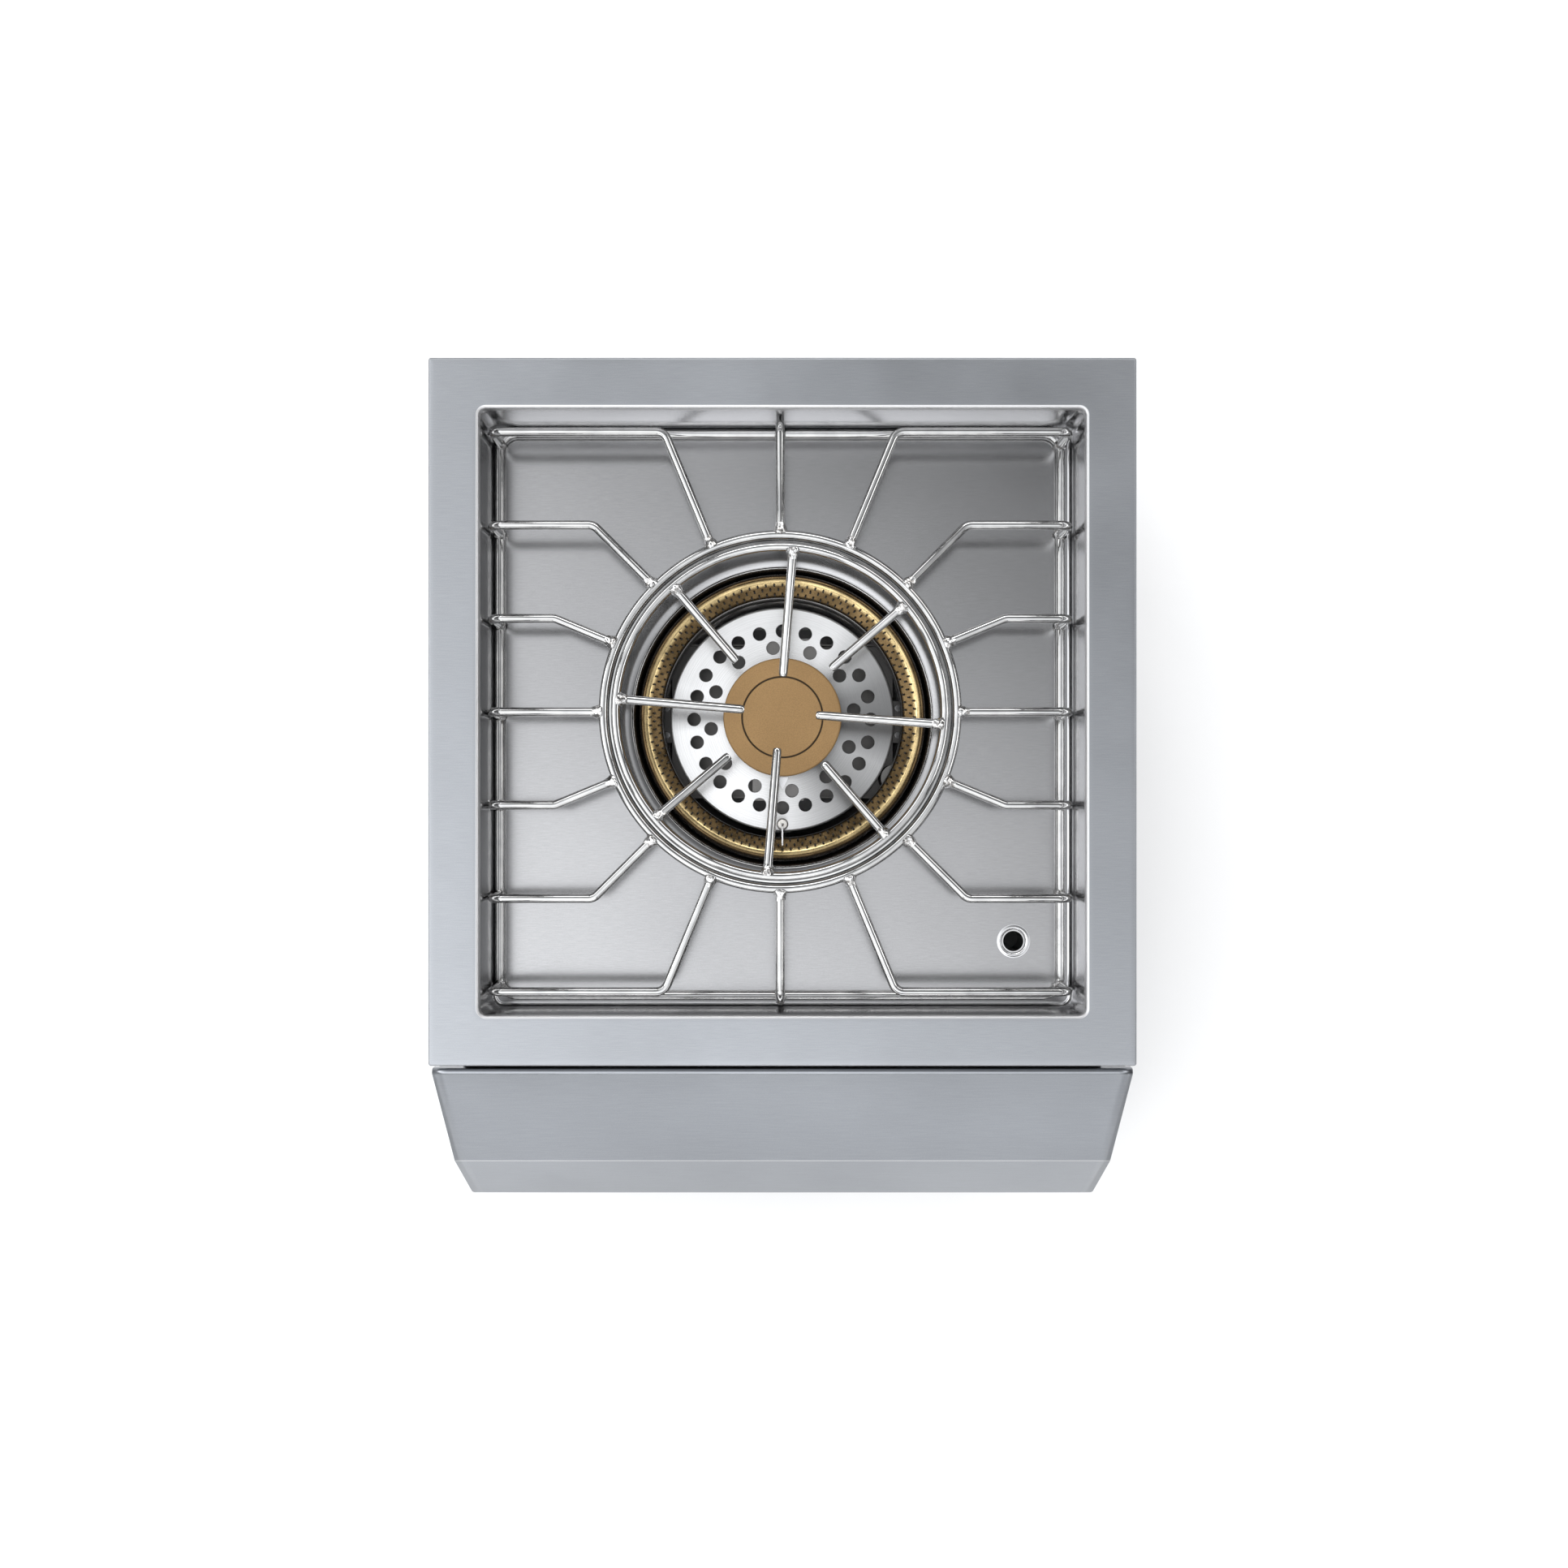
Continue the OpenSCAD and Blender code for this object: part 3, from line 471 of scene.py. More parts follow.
def ceramic(name):
    """Glazed white ceramic."""
    paint = Paint(name, (0.83, 0.81, 0.77), 0.0, 0.22)
    paint.color(paint.ramp(paint.noise(500, detail=3), (0.3, (0.78, 0.75, 0.70)), (0.7, (0.87, 0.86, 0.83))))
    paint.bump(paint.noise(900, detail=2), 1e-5)
    return paint.material


def moulded(name, color, roughness):
    """Moulded plastic or rubber with a fine spark-eroded grain."""
    paint = Paint(name, color, 0.0, roughness)
    light = [min(1, c * 1.3 + 0.004) for c in color]
    paint.color(paint.ramp(paint.noise(90, detail=3), (0.3, color), (0.7, light)))
    paint.bump(paint.noise(1400, detail=2), 4e-5)
    return paint.material


DECK_STEEL = brushed_steel("deck_steel", (0.355, 0.368, 0.389), 0.40, (0.04, 1, 1), smudge=0.03)
PAN_STEEL = brushed_steel("pan_steel", (0.40, 0.40, 0.405), 0.19, (0.06, 1, 1), smudge=0.05)
PANEL_STEEL = brushed_steel("panel_steel", (0.325, 0.34, 0.365), 0.34, (0.03, 1, 1))
CASING_STEEL = brushed_steel("casing_steel", (0.50, 0.50, 0.51), 0.36, (1, 1, 0.03))
BOWL_STEEL = brushed_steel("bowl_steel", (0.62, 0.62, 0.62), 0.22, (1, 1, 0.2))
# Dark steel for the burner tubes; the bracket and posts under the disc take it as painted shade, seen
# through the disc's holes.
TUBE_STEEL = brushed_steel("tube_steel", (0.20, 0.195, 0.19), 0.42, (1, 1, 1), smudge=0.2)
# Lighter steel for the deck's rolled lip and the panel's folds: a painted highlight along each bend.
EDGE_HIGHLIGHT_STEEL = brushed_steel("edge_painted_highlight", (0.72, 0.72, 0.73), 0.42, (1, 1, 1))
# Bright trim steel for the knobs, bezels, screws, springs and electrode. The well's walls and drain dish
# take it too; on the walls it is painted light, a lighter copy of the well's own steel.
TRIM_STEEL_AND_WALL_LIGHT = brushed_steel("trim_steel", (0.74, 0.74, 0.75), 0.20, (1, 1, 1))
ROD_STEEL = polished_rod("rod_steel")
WELD = weld_metal("weld_metal")
RING_BRASS = ring_brass("ring_brass")
# Near black inside the burner ports: painted shade in the holes.
PORT_SHADE = moulded("port_painted_shade", (0.012, 0.010, 0.008), 0.8)
# Near-black brown in the cap's groove: painted shade in the recess.
GROOVE_SHADE = moulded("groove_painted_shade", (0.045, 0.028, 0.012), 0.8)
FITTING_BRASS = cast_brass("fitting_brass", (0.72, 0.56, 0.28), (0.58, 0.42, 0.20), 0.26)
CAP_COAT = cap_coat("cap_coat")
CERAMIC = ceramic("ceramic")
BLACK_PLASTIC = moulded("black_plastic", (0.018, 0.018, 0.018), 0.5)
RED_SILICONE = moulded("red_silicone", (0.28, 0.03, 0.02), 0.45)


def spun_steel(name):
    """Disc steel with fine turning marks about the burner's axis, and painted reflections: sectors by the
    turn about the axis, darkest towards the right, stand for the dark reflections the disc shows there.
    """
    paint = Paint(name, (0.88, 0.88, 0.88), 1.0, 0.26)
    distance, turn = paint.around_burner()
    along = paint.add("ShaderNodeCombineXYZ")
    paint.links.new(distance, along.inputs["X"])
    marks = paint.noise(1500, detail=3, place=along.outputs["Vector"])
    shade = paint.ramp(marks, (0.35, 0.84), (0.65, 1.0))
    # Painted reflection: a ramp over the turn about the axis darkens the sectors from the front right round
    # to the right back.
    painted_dark_sectors = paint.ramp(turn, (0.0, 0.60), (0.02, 0.95), (0.15, 0.97), (0.25, 0.80), (0.31, 0.50),
                        (0.36, 0.26), (0.43, 0.50), (0.49, 0.22), (0.55, 0.30), (0.60, 0.55),
                        (0.66, 0.95), (0.95, 0.98), (1.0, 0.60))
    clouds = paint.ramp(paint.noise(12, detail=3), (0.3, 0.80), (0.7, 1.0))
    paint.color(paint.multiply(paint.multiply(painted_dark_sectors, shade), clouds))
    paint.turned(0.8)
    return paint.material


DISC_STEEL = spun_steel("disc_steel")


# ---------------------------------------------------------------- deck, well and bowl

def deck_loops(profile):
    """Square loops of the deck's section: round at the opening, nearly sharp at the outer rim."""
    loops = []
    for half, z in profile:
        inside = half < (OPENING + HALF) / 2
        corner = 6 + half - OPENING if inside else max(0.6, 2.4 - (HALF - half))
        loops.append(rounded_square(half, corner, z))
    return loops


def make_deck():
    """Folded top sheet: a lip rolled into the well and painted lighter along its roll as a highlight, a flat
    border, and a rim turned under.
    """
    roll = 2.6
    fold = 1.8
    flange = 15
    border = [(HALF - flange, RIM_Z), (HALF - 1.5, RIM_Z), (HALF - 0.4, RIM_Z + 0.4), (HALF, RIM_Z + 1.5)]
    for k in range(7):
        a = math.pi / 2 * k / 6
        border.append((HALF - fold + fold * math.cos(a), TOP - fold + fold * math.sin(a)))
    border += [(HALF - 6, TOP), (OPENING + 6, TOP), (OPENING + roll, TOP)]
    lip = []
    for k in range(9):
        a = math.pi / 2 * k / 8
        lip.append((OPENING + roll - roll * math.sin(a), TOP - roll + roll * math.cos(a)))
    lip += [(OPENING, TOP - 7), (OPENING + 0.2, TOP - 8)]
    shape = Shape().rings(deck_loops(border))
    plain = len(shape.faces)
    # The rolled lip takes the lighter edge steel as a painted highlight.
    shape.rings(deck_loops(lip)).mark_from(plain)
    piece("deck_sheet", shape, DECK_STEEL, "cabinet", ["deck_frame"],
          thickness=1.4, closed=False, second=EDGE_HIGHLIGHT_STEEL)


def make_pan():
    """Deep-drawn well with a rounded foot, a level floor, a funnel to the burners and a dished drain.

    A narrow level ring beside each edge of the floor keeps the shading of its large triangles even.
    """
    inside = OPENING + 1.7
    corner = 9
    foot = 3.2
    guard = 1.5
    dish_guard = 1
    funnel_r = 144.5
    dish_r = 14.2
    profile = [(inside + 11, TOP - 2.2), (inside + 2, TOP - 2.2), (inside + 0.6, TOP - 2.8),
               (inside, TOP - 4.4)]
    for k in range(7):
        a = math.pi / 2 * k / 6
        profile.append((inside - foot + foot * math.cos(a), FLOOR_Z + foot - foot * math.sin(a)))
    walls = [rounded_square(half, corner - max(0, inside - half), z, 10) for half, z in profile]
    # The walls take the lighter second steel as painted light, so that they read brighter than the floor.
    shape = Shape().rings(walls).mark_from(0)
    level = rounded_square(inside - foot - guard, corner - foot - guard, FLOOR_Z, 10)
    shape.rings([walls[-1], level])
    shape.flat(level, [circle(funnel_r + guard, FLOOR_Z, 160),
                       circle(dish_r + dish_guard, FLOOR_Z, 48, *DRAIN)])
    funnel = [(funnel_r + guard, 0), (funnel_r, 0), (142, 0.15), (139.6, 0.55), (137.8, 1.15), (136.6, 1.9)]
    shape.rings([circle(r, FLOOR_Z - fall, 160) for r, fall in funnel])
    plain = len(shape.faces)
    dish = [(dish_r + dish_guard, 0), (dish_r, 0), (13.2, -0.5), (12.1, -0.35),
            (10.9, 0.8), (9.9, 2.2), (9.4, 3.8), (9.3, 6)]
    shape.rings([circle(r, FLOOR_Z - fall, 48, *DRAIN) for r, fall in dish]).mark_from(plain)
    piece("well_sheet", shape, PAN_STEEL, "cabinet", ["well_walls", "well_floor"],
          thickness=1.3, closed=False, second=TRIM_STEEL_AND_WALL_LIGHT)


def make_bowl():
    """Spun bowl that carries the funnel on down, with a flange at its foot."""
    low = box_mm("burner_bowl")[0].z + 1.2
    mouth = [(143, 1.6), (138.8, 2.2), (135.8, 3.6), (133.7, 6.2), (132.7, 10)]
    foot = [(132.5, 6), (131.9, 3), (130, 0.8), (127, 0), (104, 0)]
    profile = [(r, FLOOR_Z - fall) for r, fall in mouth] + [(r, low + rise) for r, rise in foot]
    shape = Shape().rings([circle(r, z, 160) for r, z in profile])
    piece("bowl_sheet", shape, BOWL_STEEL, "cabinet", ["burner_bowl"],
          thickness=1.1, closed=False)


# ---------------------------------------------------------------- control panel

def make_panel():
    """One folded sheet: a rolled back edge, two sloping facets, a visor edge and the control face."""
    half_width = 303
    back_fold = (3, TOP - 2)
    crease = (104, 208)
    corners = [(3, TOP - 16), back_fold, crease, (PANEL_REACH, 131), (PANEL_REACH, 128),
               (FACE_REACH, 124), (FACE_REACH, 0.2), (FACE_REACH - 18, 0.2)]
    radii = [0, 3.2, 4, 1.4, 1.4, 2.4, 1.6, 0]
    path = bent([Vector((reach, z, 0)) for reach, z in corners], radii, steps=6)
    rounding = 2.6
    near_lip = [PANEL_REACH - step for step in (rounding, 2.2, 1.7)]
    edge = [path[0]]
    for a, b in zip(path, path[1:]):
        edge += [a.lerp(b, (x - a.x) / (b.x - a.x)) for x in near_lip if a.x < x < b.x] + [b]
    path = edge
    left, right = [], []
    for p in path:
        over = max(0, p.x - (PANEL_REACH - rounding))
        narrow = rounding - math.sqrt(max(0, rounding ** 2 - over ** 2))
        left.append(Vector((narrow - half_width, front(p.x), p.y)))
        right.append(Vector((half_width - narrow, front(p.x), p.y)))
    shape = Shape()
    shares = [0, 0.02, 0.16, 0.33, 0.5, 0.67, 0.84, 0.98, 1]
    for share in shares:
        shape.points.extend(a.lerp(b, share) for a, b in zip(left, right))
    count = len(path)
    # Faces close to the back fold and the crease take the lighter edge steel, a painted highlight along each
    # bend.
    folds = [Vector((*back_fold, 0)), Vector((*crease, 0))]
    highlight_reach = 2.2
    for i in range(len(shares) - 1):
        for k in range(count - 1):
            a = i * count + k
            shape.faces.append((a, a + 1, a + 1 + count, a + count))
            middle = (path[k] + path[k + 1]) / 2
            if min((middle - fold).length for fold in folds) < highlight_reach:
                shape.mark_from(len(shape.faces) - 1)
    piece("panel_sheet", shape, PANEL_STEEL, "cabinet", ["control_panel"],
          thickness=1.4, closed=False, second=EDGE_HIGHLIGHT_STEEL)


def make_knob(name, side):
    """Metal knob: a wide skirt, a grip with a flat on each side, and a raised pointer."""
    low, high = box_mm("control_knob_" + name)
    back = front(0) - high.y + DECK_Y
    tip = front(0) - low.y + DECK_Y
    radius = (high.x - low.x) / 2
    profile = [(0.01, back), (radius - 1, back), (radius, back + 0.8), (radius, back + 2.6),
               (radius - 0.8, back + 3.6), (radius - 3, back + 4.6), (radius - 3.9, back + 6),
               (radius - 4.6, tip - 2.6), (radius - 5.2, tip - 1), (radius - 6.4, tip), (0.01, tip - 0.4)]
    shape = Shape()
    loops = []
    for r, z in profile:
        limit = radius if z < back + 4.7 else radius - 8
        loops.append([Vector((max(-limit, min(limit, p.x)), p.y, p.z)) for p in circle(r, z, 128)])
    shape.rings(loops)
    pointer = [(-1, 4), (1, 4), (1, radius - 7), (-1, radius - 7)]
    shape.rings([[Vector((x, y, z)) for x, y in pointer] for z in (tip - 1, tip)], end_cap=True)
    facing_front(shape, side * KNOB_X, KNOB_Z)
    piece("knob_" + name, shape, TRIM_STEEL_AND_WALL_LIGHT, "knob_" + name, ["control_knob_" + name], sharp=30)


def make_bezel(name, side):
    """Stepped trim ring round one knob."""
    steps = [(30.5, 0), (37, 0), (37, 1.6), (36.2, 2.4), (35, 2.6), (34.5, 3.2), (33.8, 3.9), (31.4, 4),
             (30.7, 3.6)]
    profile = [(r, FACE_REACH + rise) for r, rise in steps]
    shape = facing_front(revolve(Shape(), profile, 128), side * KNOB_X, KNOB_Z)
    piece("bezel_ring_" + name, shape, TRIM_STEEL_AND_WALL_LIGHT, "cabinet", ["bezel_" + name], sharp=30)


# ---------------------------------------------------------------- grate and wok ring

def row_path(side, row):
    """A rod's corners: up its leg, along its row, and in along its spoke to the ring."""
    a = math.radians(22.5 * abs(row))
    y = row * PITCH
    corners = [Vector((side * RAIL_X, y, RAIL_Z)), Vector((side * RAIL_X, y, ROD_Z))]
    if row:
        corners.append(Vector((side * abs(y) / math.tan(a), y, ROD_Z)))
    sign = (row > 0) - (row < 0)
    corners.append(Vector((side * RING_R * math.cos(a), sign * RING_R * math.sin(a), ROD_Z)))
    return corners


def on_grate(p):
    """Places a point of the centred grate where the grate really lies in the well."""
    return p + GRATE_SHIFT


def make_grate():
    """Rods on legs that run in to a ring, a rail round their feet, and a hoop that seats the wok ring."""
    for name, side in (("left", -1), ("right", 1)):
        shape = Shape()
        for row in range(-3, 4):
            rod(shape, row_path(side, row), ends=(False, False))
        piece("rods_" + name, shape.moved(on_grate), ROD_STEEL, "grate", ["grate_rods_" + name])
    shape = Shape()
    for s in (-1, 1):
        corners = [(0, s * RAIL_Y, RAIL_Z), (0, s * RAIL_Y, ROD_Z), (0, s * RING_R, ROD_Z)]
        rod(shape, corners, ends=(False, False))
    piece("rods_middle", shape.moved(on_grate), ROD_STEEL, "grate", ["grate_rods_middle"])

    rails = [Vector((x * RAIL_X, y * RAIL_Y, RAIL_Z)) for x, y in ((1, 1), (-1, 1), (-1, -1), (1, -1))]
    rail_corner = 16
    shape = Shape().rings(tube(bent(rails, rail_corner, 10, closed=True), ROD, 20, closed=True), wrap=True)
    piece("rails", shape.moved(on_grate), ROD_STEEL, "grate", ["grate_rails"])

    shape = hoop(Shape(), RING_R, ROD_Z)
    hoop(shape, RING_R - SEAT_IN, ROD_Z - SEAT_DOWN)
    piece("grate_hoops", shape.moved(on_grate), ROD_STEEL, "grate", ["grate_ring"])

    shape = Shape()
    for i in range(16):
        a = math.radians(22.5 * i)
        out = Vector((math.cos(a), math.sin(a), 0))
        weld(shape, out * (RING_R + 1.2) + Vector((0, 0, ROD_Z)), out, i + 1)
    for side in (-1, 1):
        for row in range(-3, 4):
            foot = row_path(side, row)[0]
            weld(shape, foot, Vector((0, 0, 1)), 20 + side * 9 + row, 8, 0.9)
    for s in (-1, 1):
        weld(shape, Vector((0, s * RAIL_Y, RAIL_Z)), Vector((0, 0, 1)), 40 + s, 8, 0.9)
    piece("grate_beads", shape.moved(on_grate), WELD, "grate", ["grate_welds"], sharp=60)


def on_wok_ring(p):
    """Places a point of the centred, square wok ring where the ring really sits."""
    c, s = math.cos(WOK_TURN), math.sin(WOK_TURN)
    return Vector((p.x * c - p.y * s, p.x * s + p.y * c, p.z)) + GRATE_SHIFT


def finger_z(r):
    """Height of a finger's middle line, which falls gently towards the burner."""
    return WOK_Z - 0.09 * (WOK_R - r)


def make_wok_ring():
    """Hoop with eight fingers, by turns long and short."""
    shape = hoop(Shape(), WOK_R, WOK_Z).moved(on_wok_ring)
    piece("wok_ring_hoop", shape, ROD_STEEL, "wok_ring", ["wok_hoop"])
    fingers, beads = Shape(), Shape()
    for i in range(8):
        a = math.radians(45 * i)
        out = Vector((math.cos(a), math.sin(a), 0))
        tip = 32 if i % 2 == 0 else 59
        start = out * (WOK_R - 2) + Vector((0, 0, finger_z(WOK_R - 2)))
        end = out * tip + Vector((0, 0, finger_z(tip)))
        rod(fingers, [start, end], ends=(False, True), sides=24)
        weld(beads, out * (WOK_R - 1.2) + Vector((0, 0, WOK_Z)), end - start, 60 + i)
    piece("wok_ring_fingers", fingers.moved(on_wok_ring), ROD_STEEL, "wok_ring", ["wok_fingers"])
    piece("wok_ring_beads", beads.moved(on_wok_ring), WELD, "wok_ring", ["wok_welds"], sharp=60)


# ---------------------------------------------------------------- burners

PORTS = 100
BAND_OUT = 122.07
BAND_LINES = [111.0, 115.1, 119.4, BAND_OUT]
PORT_ROWS = [113.0, 117.3, 120.9]
PORT_R = 0.88
PORT_DEPTH = 2.2


def band_z(r):
    """Height of the sloping band that holds the ports."""
    inner = (BRASS_IN, CREST_Z - 9.5)
    outer = (BAND_OUT, CREST_Z - 1.05)
    return inner[1] + (r - inner[0]) * (outer[1] - inner[1]) / (outer[0] - inner[0])


def band_point(r, turn):
    return Vector((r * math.cos(turn), r * math.sin(turn), band_z(r)))


def port_tile(shape, low, high, row_r, middle, pitch):
    """One patch of the band with a round port in it, drilled square to the slope."""
    quarter = pitch / 4
    up = [low + (high - low) * k / 4 for k in range(5)]
    edge = [band_point(low, middle + quarter * (k - 2)) for k in range(5)]
    edge += [band_point(up[k], middle + 2 * quarter) for k in (1, 2, 3)]
    edge += [band_point(high, middle + quarter * (2 - k)) for k in range(5)]
    edge += [band_point(up[k], middle - 2 * quarter) for k in (3, 2, 1)]
    centre = band_point(row_r, middle)
    along = (band_point(row_r, middle + quarter) - band_point(row_r, middle - quarter)).normalized()
    slope = (band_point(high, middle) - band_point(low, middle)).normalized()
    inward = slope.cross(along).normalized()
    rim = []
    for k in range(16):
        a = -3 * math.pi / 4 + 2 * math.pi * k / 16
        rim.append(centre + (along * math.cos(a) + slope * math.sin(a)) * PORT_R)
    floor = [p + inward * PORT_DEPTH for p in rim]
    shape.rings([edge, rim])
    # The port's wall and floor take the piece's second material, near black: painted shade in the hole.
    drilled = len(shape.faces)
    shape.rings([rim, floor], end_cap=True).mark_from(drilled)


def make_brass_ring():
    """Cast ring with three staggered rows of drilled ports on its inner slope."""
    shape = Shape()
    pitch = 2 * math.pi / PORTS
    for row, row_r in enumerate(PORT_ROWS):
        for i in range(PORTS):
            middle = pitch * (i + (0.5 if row % 2 else 0))
            port_tile(shape, BAND_LINES[row], BAND_LINES[row + 1], row_r, middle, pitch)
    steps = PORTS * 4
    crown_r = 5.5
    crown = (BRASS_OUT - crown_r, CREST_Z - crown_r)
    outside = [(BAND_OUT, band_z(BAND_OUT))]
    for k in range(1, 15):
        a = math.radians(126 - 9 * k)
        outside.append((crown[0] + crown_r * math.cos(a), crown[1] + crown_r * math.sin(a)))
    outside += [(BRASS_OUT, SEAM_Z + 1), (BRASS_OUT - 0.8, SEAM_Z), (BRASS_IN + 0.8, SEAM_Z),
                (BRASS_IN, SEAM_Z + 1), (BRASS_IN, CREST_Z - 10.4), (BRASS_IN + 0.25, CREST_Z - 9.7),
                (BAND_LINES[0], band_z(BAND_LINES[0]))]
    shape.rings([circle(r, z, steps) for r, z in outside])
    piece("brass_ring", shape, RING_BRASS, "cabinet", ["ring_burner_head"], sharp=35,
          second=PORT_SHADE)


def make_disc():
    """Perforated disc with a rounded, turned-down rim."""
    radius = 105
    level_r = 103.2
    guard_r = level_r - 0.8
    centre_r = 44
    sheet = 1.5
    chamfer = 0.35
    holes = [(82.7, 15 * i, 6.1) for i in range(24)]
    holes += [(67.3, 7.5 + 30 * i, 6.1) for i in range(12)]
    holes += [(-IGNITER_Y, -90, 5.2)]
    places = [(r * math.cos(math.radians(a)), r * math.sin(math.radians(a)), size) for r, a, size in holes]
    shape = Shape()
    for z, grow in ((DISC_Z, chamfer), (DISC_Z - sheet, 0)):
        rims = [circle(size + grow, z, 32, x, y) for x, y, size in places]
        shape.flat(circle(guard_r, z, 192), [circle(centre_r, z, 96), *rims])
        shape.rings([circle(guard_r, z, 192), circle(level_r, z, 192)])
    for x, y, size in places:
        hole = [(size + chamfer, 0), (size, chamfer), (size, sheet)]
        shape.rings([circle(r, DISC_Z - fall, 32, x, y) for r, fall in hole])
    shape.rings([circle(centre_r, DISC_Z, 96), circle(centre_r, DISC_Z - sheet, 96)])
    rim = [(level_r, 0), (104.1, 0.25), (104.75, 0.9), (radius, 1.8), (radius, 7),
           (radius - sheet, 7), (radius - sheet, 2.2), (level_r, sheet)]
    shape.rings([circle(r, DISC_Z - fall, 192) for r, fall in rim])
    piece("perforated_disc", shape, DISC_STEEL, "cabinet", ["baffle_disc"], sharp=35)


def make_cap():
    """Lift-off cap: a flat top with a fine turned groove and a soft edge."""
    low = CAP_TOP - 8.7
    collar = [(34.5, low - 5), (37.5, low - 5), (37.5, low)]
    edge = [(54, 2.2), (53.7, 1), (53, 0.3), (52, 0), (51.2, 0)]
    groove = [(37.9, 0), (37.5, 0.3), (37.4, 1.8), (36.1, 1.8), (36, 0.3), (35.6, 0)]
    profile = collar + [(53.6, low), (54, low + 0.5)]
    profile += [(r, CAP_TOP - fall) for r, fall in edge + groove]
    profile += [(0.01, CAP_TOP), (0.01, low + 1), (34.5, low + 1)]
    shape = revolve(Shape(), profile, 160)
    # The groove's faces take the second material, a near-black brown: painted shade in the narrow recess.
    in_groove = [35.8 < p.xy.length < 37.6 and p.z > low + 1 for p in shape.points]
    shape.marked = [i for i, face in enumerate(shape.faces) if all(in_groove[k] for k in face)]
    piece("burner_cap", shape, CAP_COAT, "burner_cap", ["centre_burner_cap"], sharp=35,
          second=GROOVE_SHADE)


# ---------------------------------------------------------------- ignition and supply

def make_igniter():
    """Glazed insulator with a ribbed neck, and its bent electrode wire."""
    low, high = box_mm("igniter_insulator")
    base, tip = low.z, high.z
    collar = base + 9.2
    bore = 1.2
    stem = 3.2
    profile = [(bore, base), (stem, base), (stem, collar), (6, collar), (6, collar + 5.6),
               (5.4, collar + 6), (stem, collar + 6)]
    for k in range(4):
        z = collar + 10 + 5 * k
        profile += [(stem, z), (3.9, z + 0.8), (3.9, z + 1.6), (stem, z + 2.4)]
    profile += [(stem, tip - 14), (4.1, tip - 13.6), (4.5, tip - 13), (4.5, tip - 1.4),
                (4.1, tip - 0.5), (3.4, tip), (bore, tip)]
    shape = revolve(Shape(), profile, 40, 0, IGNITER_Y)
    piece("insulator", shape, CERAMIC, "cabinet", ["igniter_insulator"], sharp=50)
    wire_low, wire_high = box_mm("igniter_wire")
    wire_r = 0.9
    top = wire_high.z - wire_r
    corners = [(0, IGNITER_Y, wire_low.z), (0, IGNITER_Y, top), (0, IGNITER_Y - 19, top)]
    shape = rod(Shape(), corners, bend=4, radius=wire_r, sides=14)
    piece("electrode", shape, TRIM_STEEL_AND_WALL_LIGHT, "cabinet", ["igniter_wire"])


def make_spring(name, side):
    """Return spring round a valve stem, with closed ends."""
    node = "return_spring_" + name
    low, high = box_mm(node)
    wire_r = 0.6
    coil_r = 6
    turns = 5
    steps = turns * 24
    start = front(0) - (high.y - DECK_Y) + wire_r
    end = front(0) - (low.y - DECK_Y) - wire_r
    path = []
    for i in range(steps + 1):
        share = i / steps
        rise = min(1, max(0, (share - 0.12) / 0.76))
        a = 2 * math.pi * turns * share
        path.append(Vector((coil_r * math.cos(a), coil_r * math.sin(a), start + (end - start) * rise)))
    shape = Shape().rings(tube(path, wire_r, 10), start_cap=True, end_cap=True)
    facing_front(shape, side * KNOB_X, KNOB_Z)
    spring = piece("spring_" + name, shape, TRIM_STEEL_AND_WALL_LIGHT, None, [node])
    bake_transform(spring)


def hexagon_reach(r, a):
    """Distance from a hexagon's middle to its edge in the direction a, with its corners at radius r."""
    return r * math.cos(math.pi / 6) / math.cos(a % (math.pi / 3) - math.pi / 6)


def make_gas_inlet():
    """Brass inlet: a chamfered hexagon, and a spigot with grooves that stand for a screw thread."""
    low, high = box_mm("gas_inlet")
    x = (low.x + high.x) / 2
    z = (low.z + high.z) / 2
    y0 = low.y - DECK_Y
    y1 = high.y - DECK_Y
    hexagon = y0 + 12.8
    bore = 5
    thread_root, thread_crest, thread_pitch = 7.3, 7.94, 1.41

    def loop(r, y, hexed=False):
        points = []
        for k in range(48):
            a = 2 * math.pi * k / 48
            reach = hexagon_reach(r, a) if hexed else r
            points.append(Vector((x + reach * math.cos(a), y, z - reach * math.sin(a))))
        return points

    loops = [loop(bore, y0), loop(10.3, y0), loop(12, y0 + 0.9, True), loop(12, hexagon - 0.9, True)]
    loops += [loop(10.3, hexagon), loop(7.4, hexagon)]
    y = hexagon + 2.5
    while y < y1 - 3:
        loops += [loop(thread_root, y), loop(thread_crest, y + 0.55), loop(thread_crest, y + 0.85)]
        y += thread_pitch
    loops += [loop(7.2, y1 - 1.6), loop(5.6, y1), loop(bore, y1)]
    shape = Shape().rings(loops, wrap=True)
    piece("inlet_fitting", shape, FITTING_BRASS, "cabinet", ["gas_inlet"], sharp=30)


# ---------------------------------------------------------------- fasteners

def screw_head(shape, at, out, radius, turn):
    """Adds a domed screw head with a hexagon socket."""
    side = out.orthogonal().normalized()
    other = out.cross(side)

    def loop(r, height, hexed=False):
        points = []
        for k in range(36):
            a = 2 * math.pi * k / 36
            reach = hexagon_reach(r, a) if hexed else r
            b = a + turn
            points.append(at + out * height + (side * math.cos(b) + other * math.sin(b)) * reach)
        return points

    high = radius * 0.45
    loops = [loop(radius * 0.9, -0.2), loop(radius, high * 0.15), loop(radius * 0.96, high * 0.5)]
    loops += [loop(radius * 0.8, high * 0.85), loop(radius * 0.62, high)]
    loops += [loop(radius * 0.52, high * 0.98, True), loop(radius * 0.5, high * 0.2, True)]
    shape.rings(loops, start_cap=True, end_cap=True)


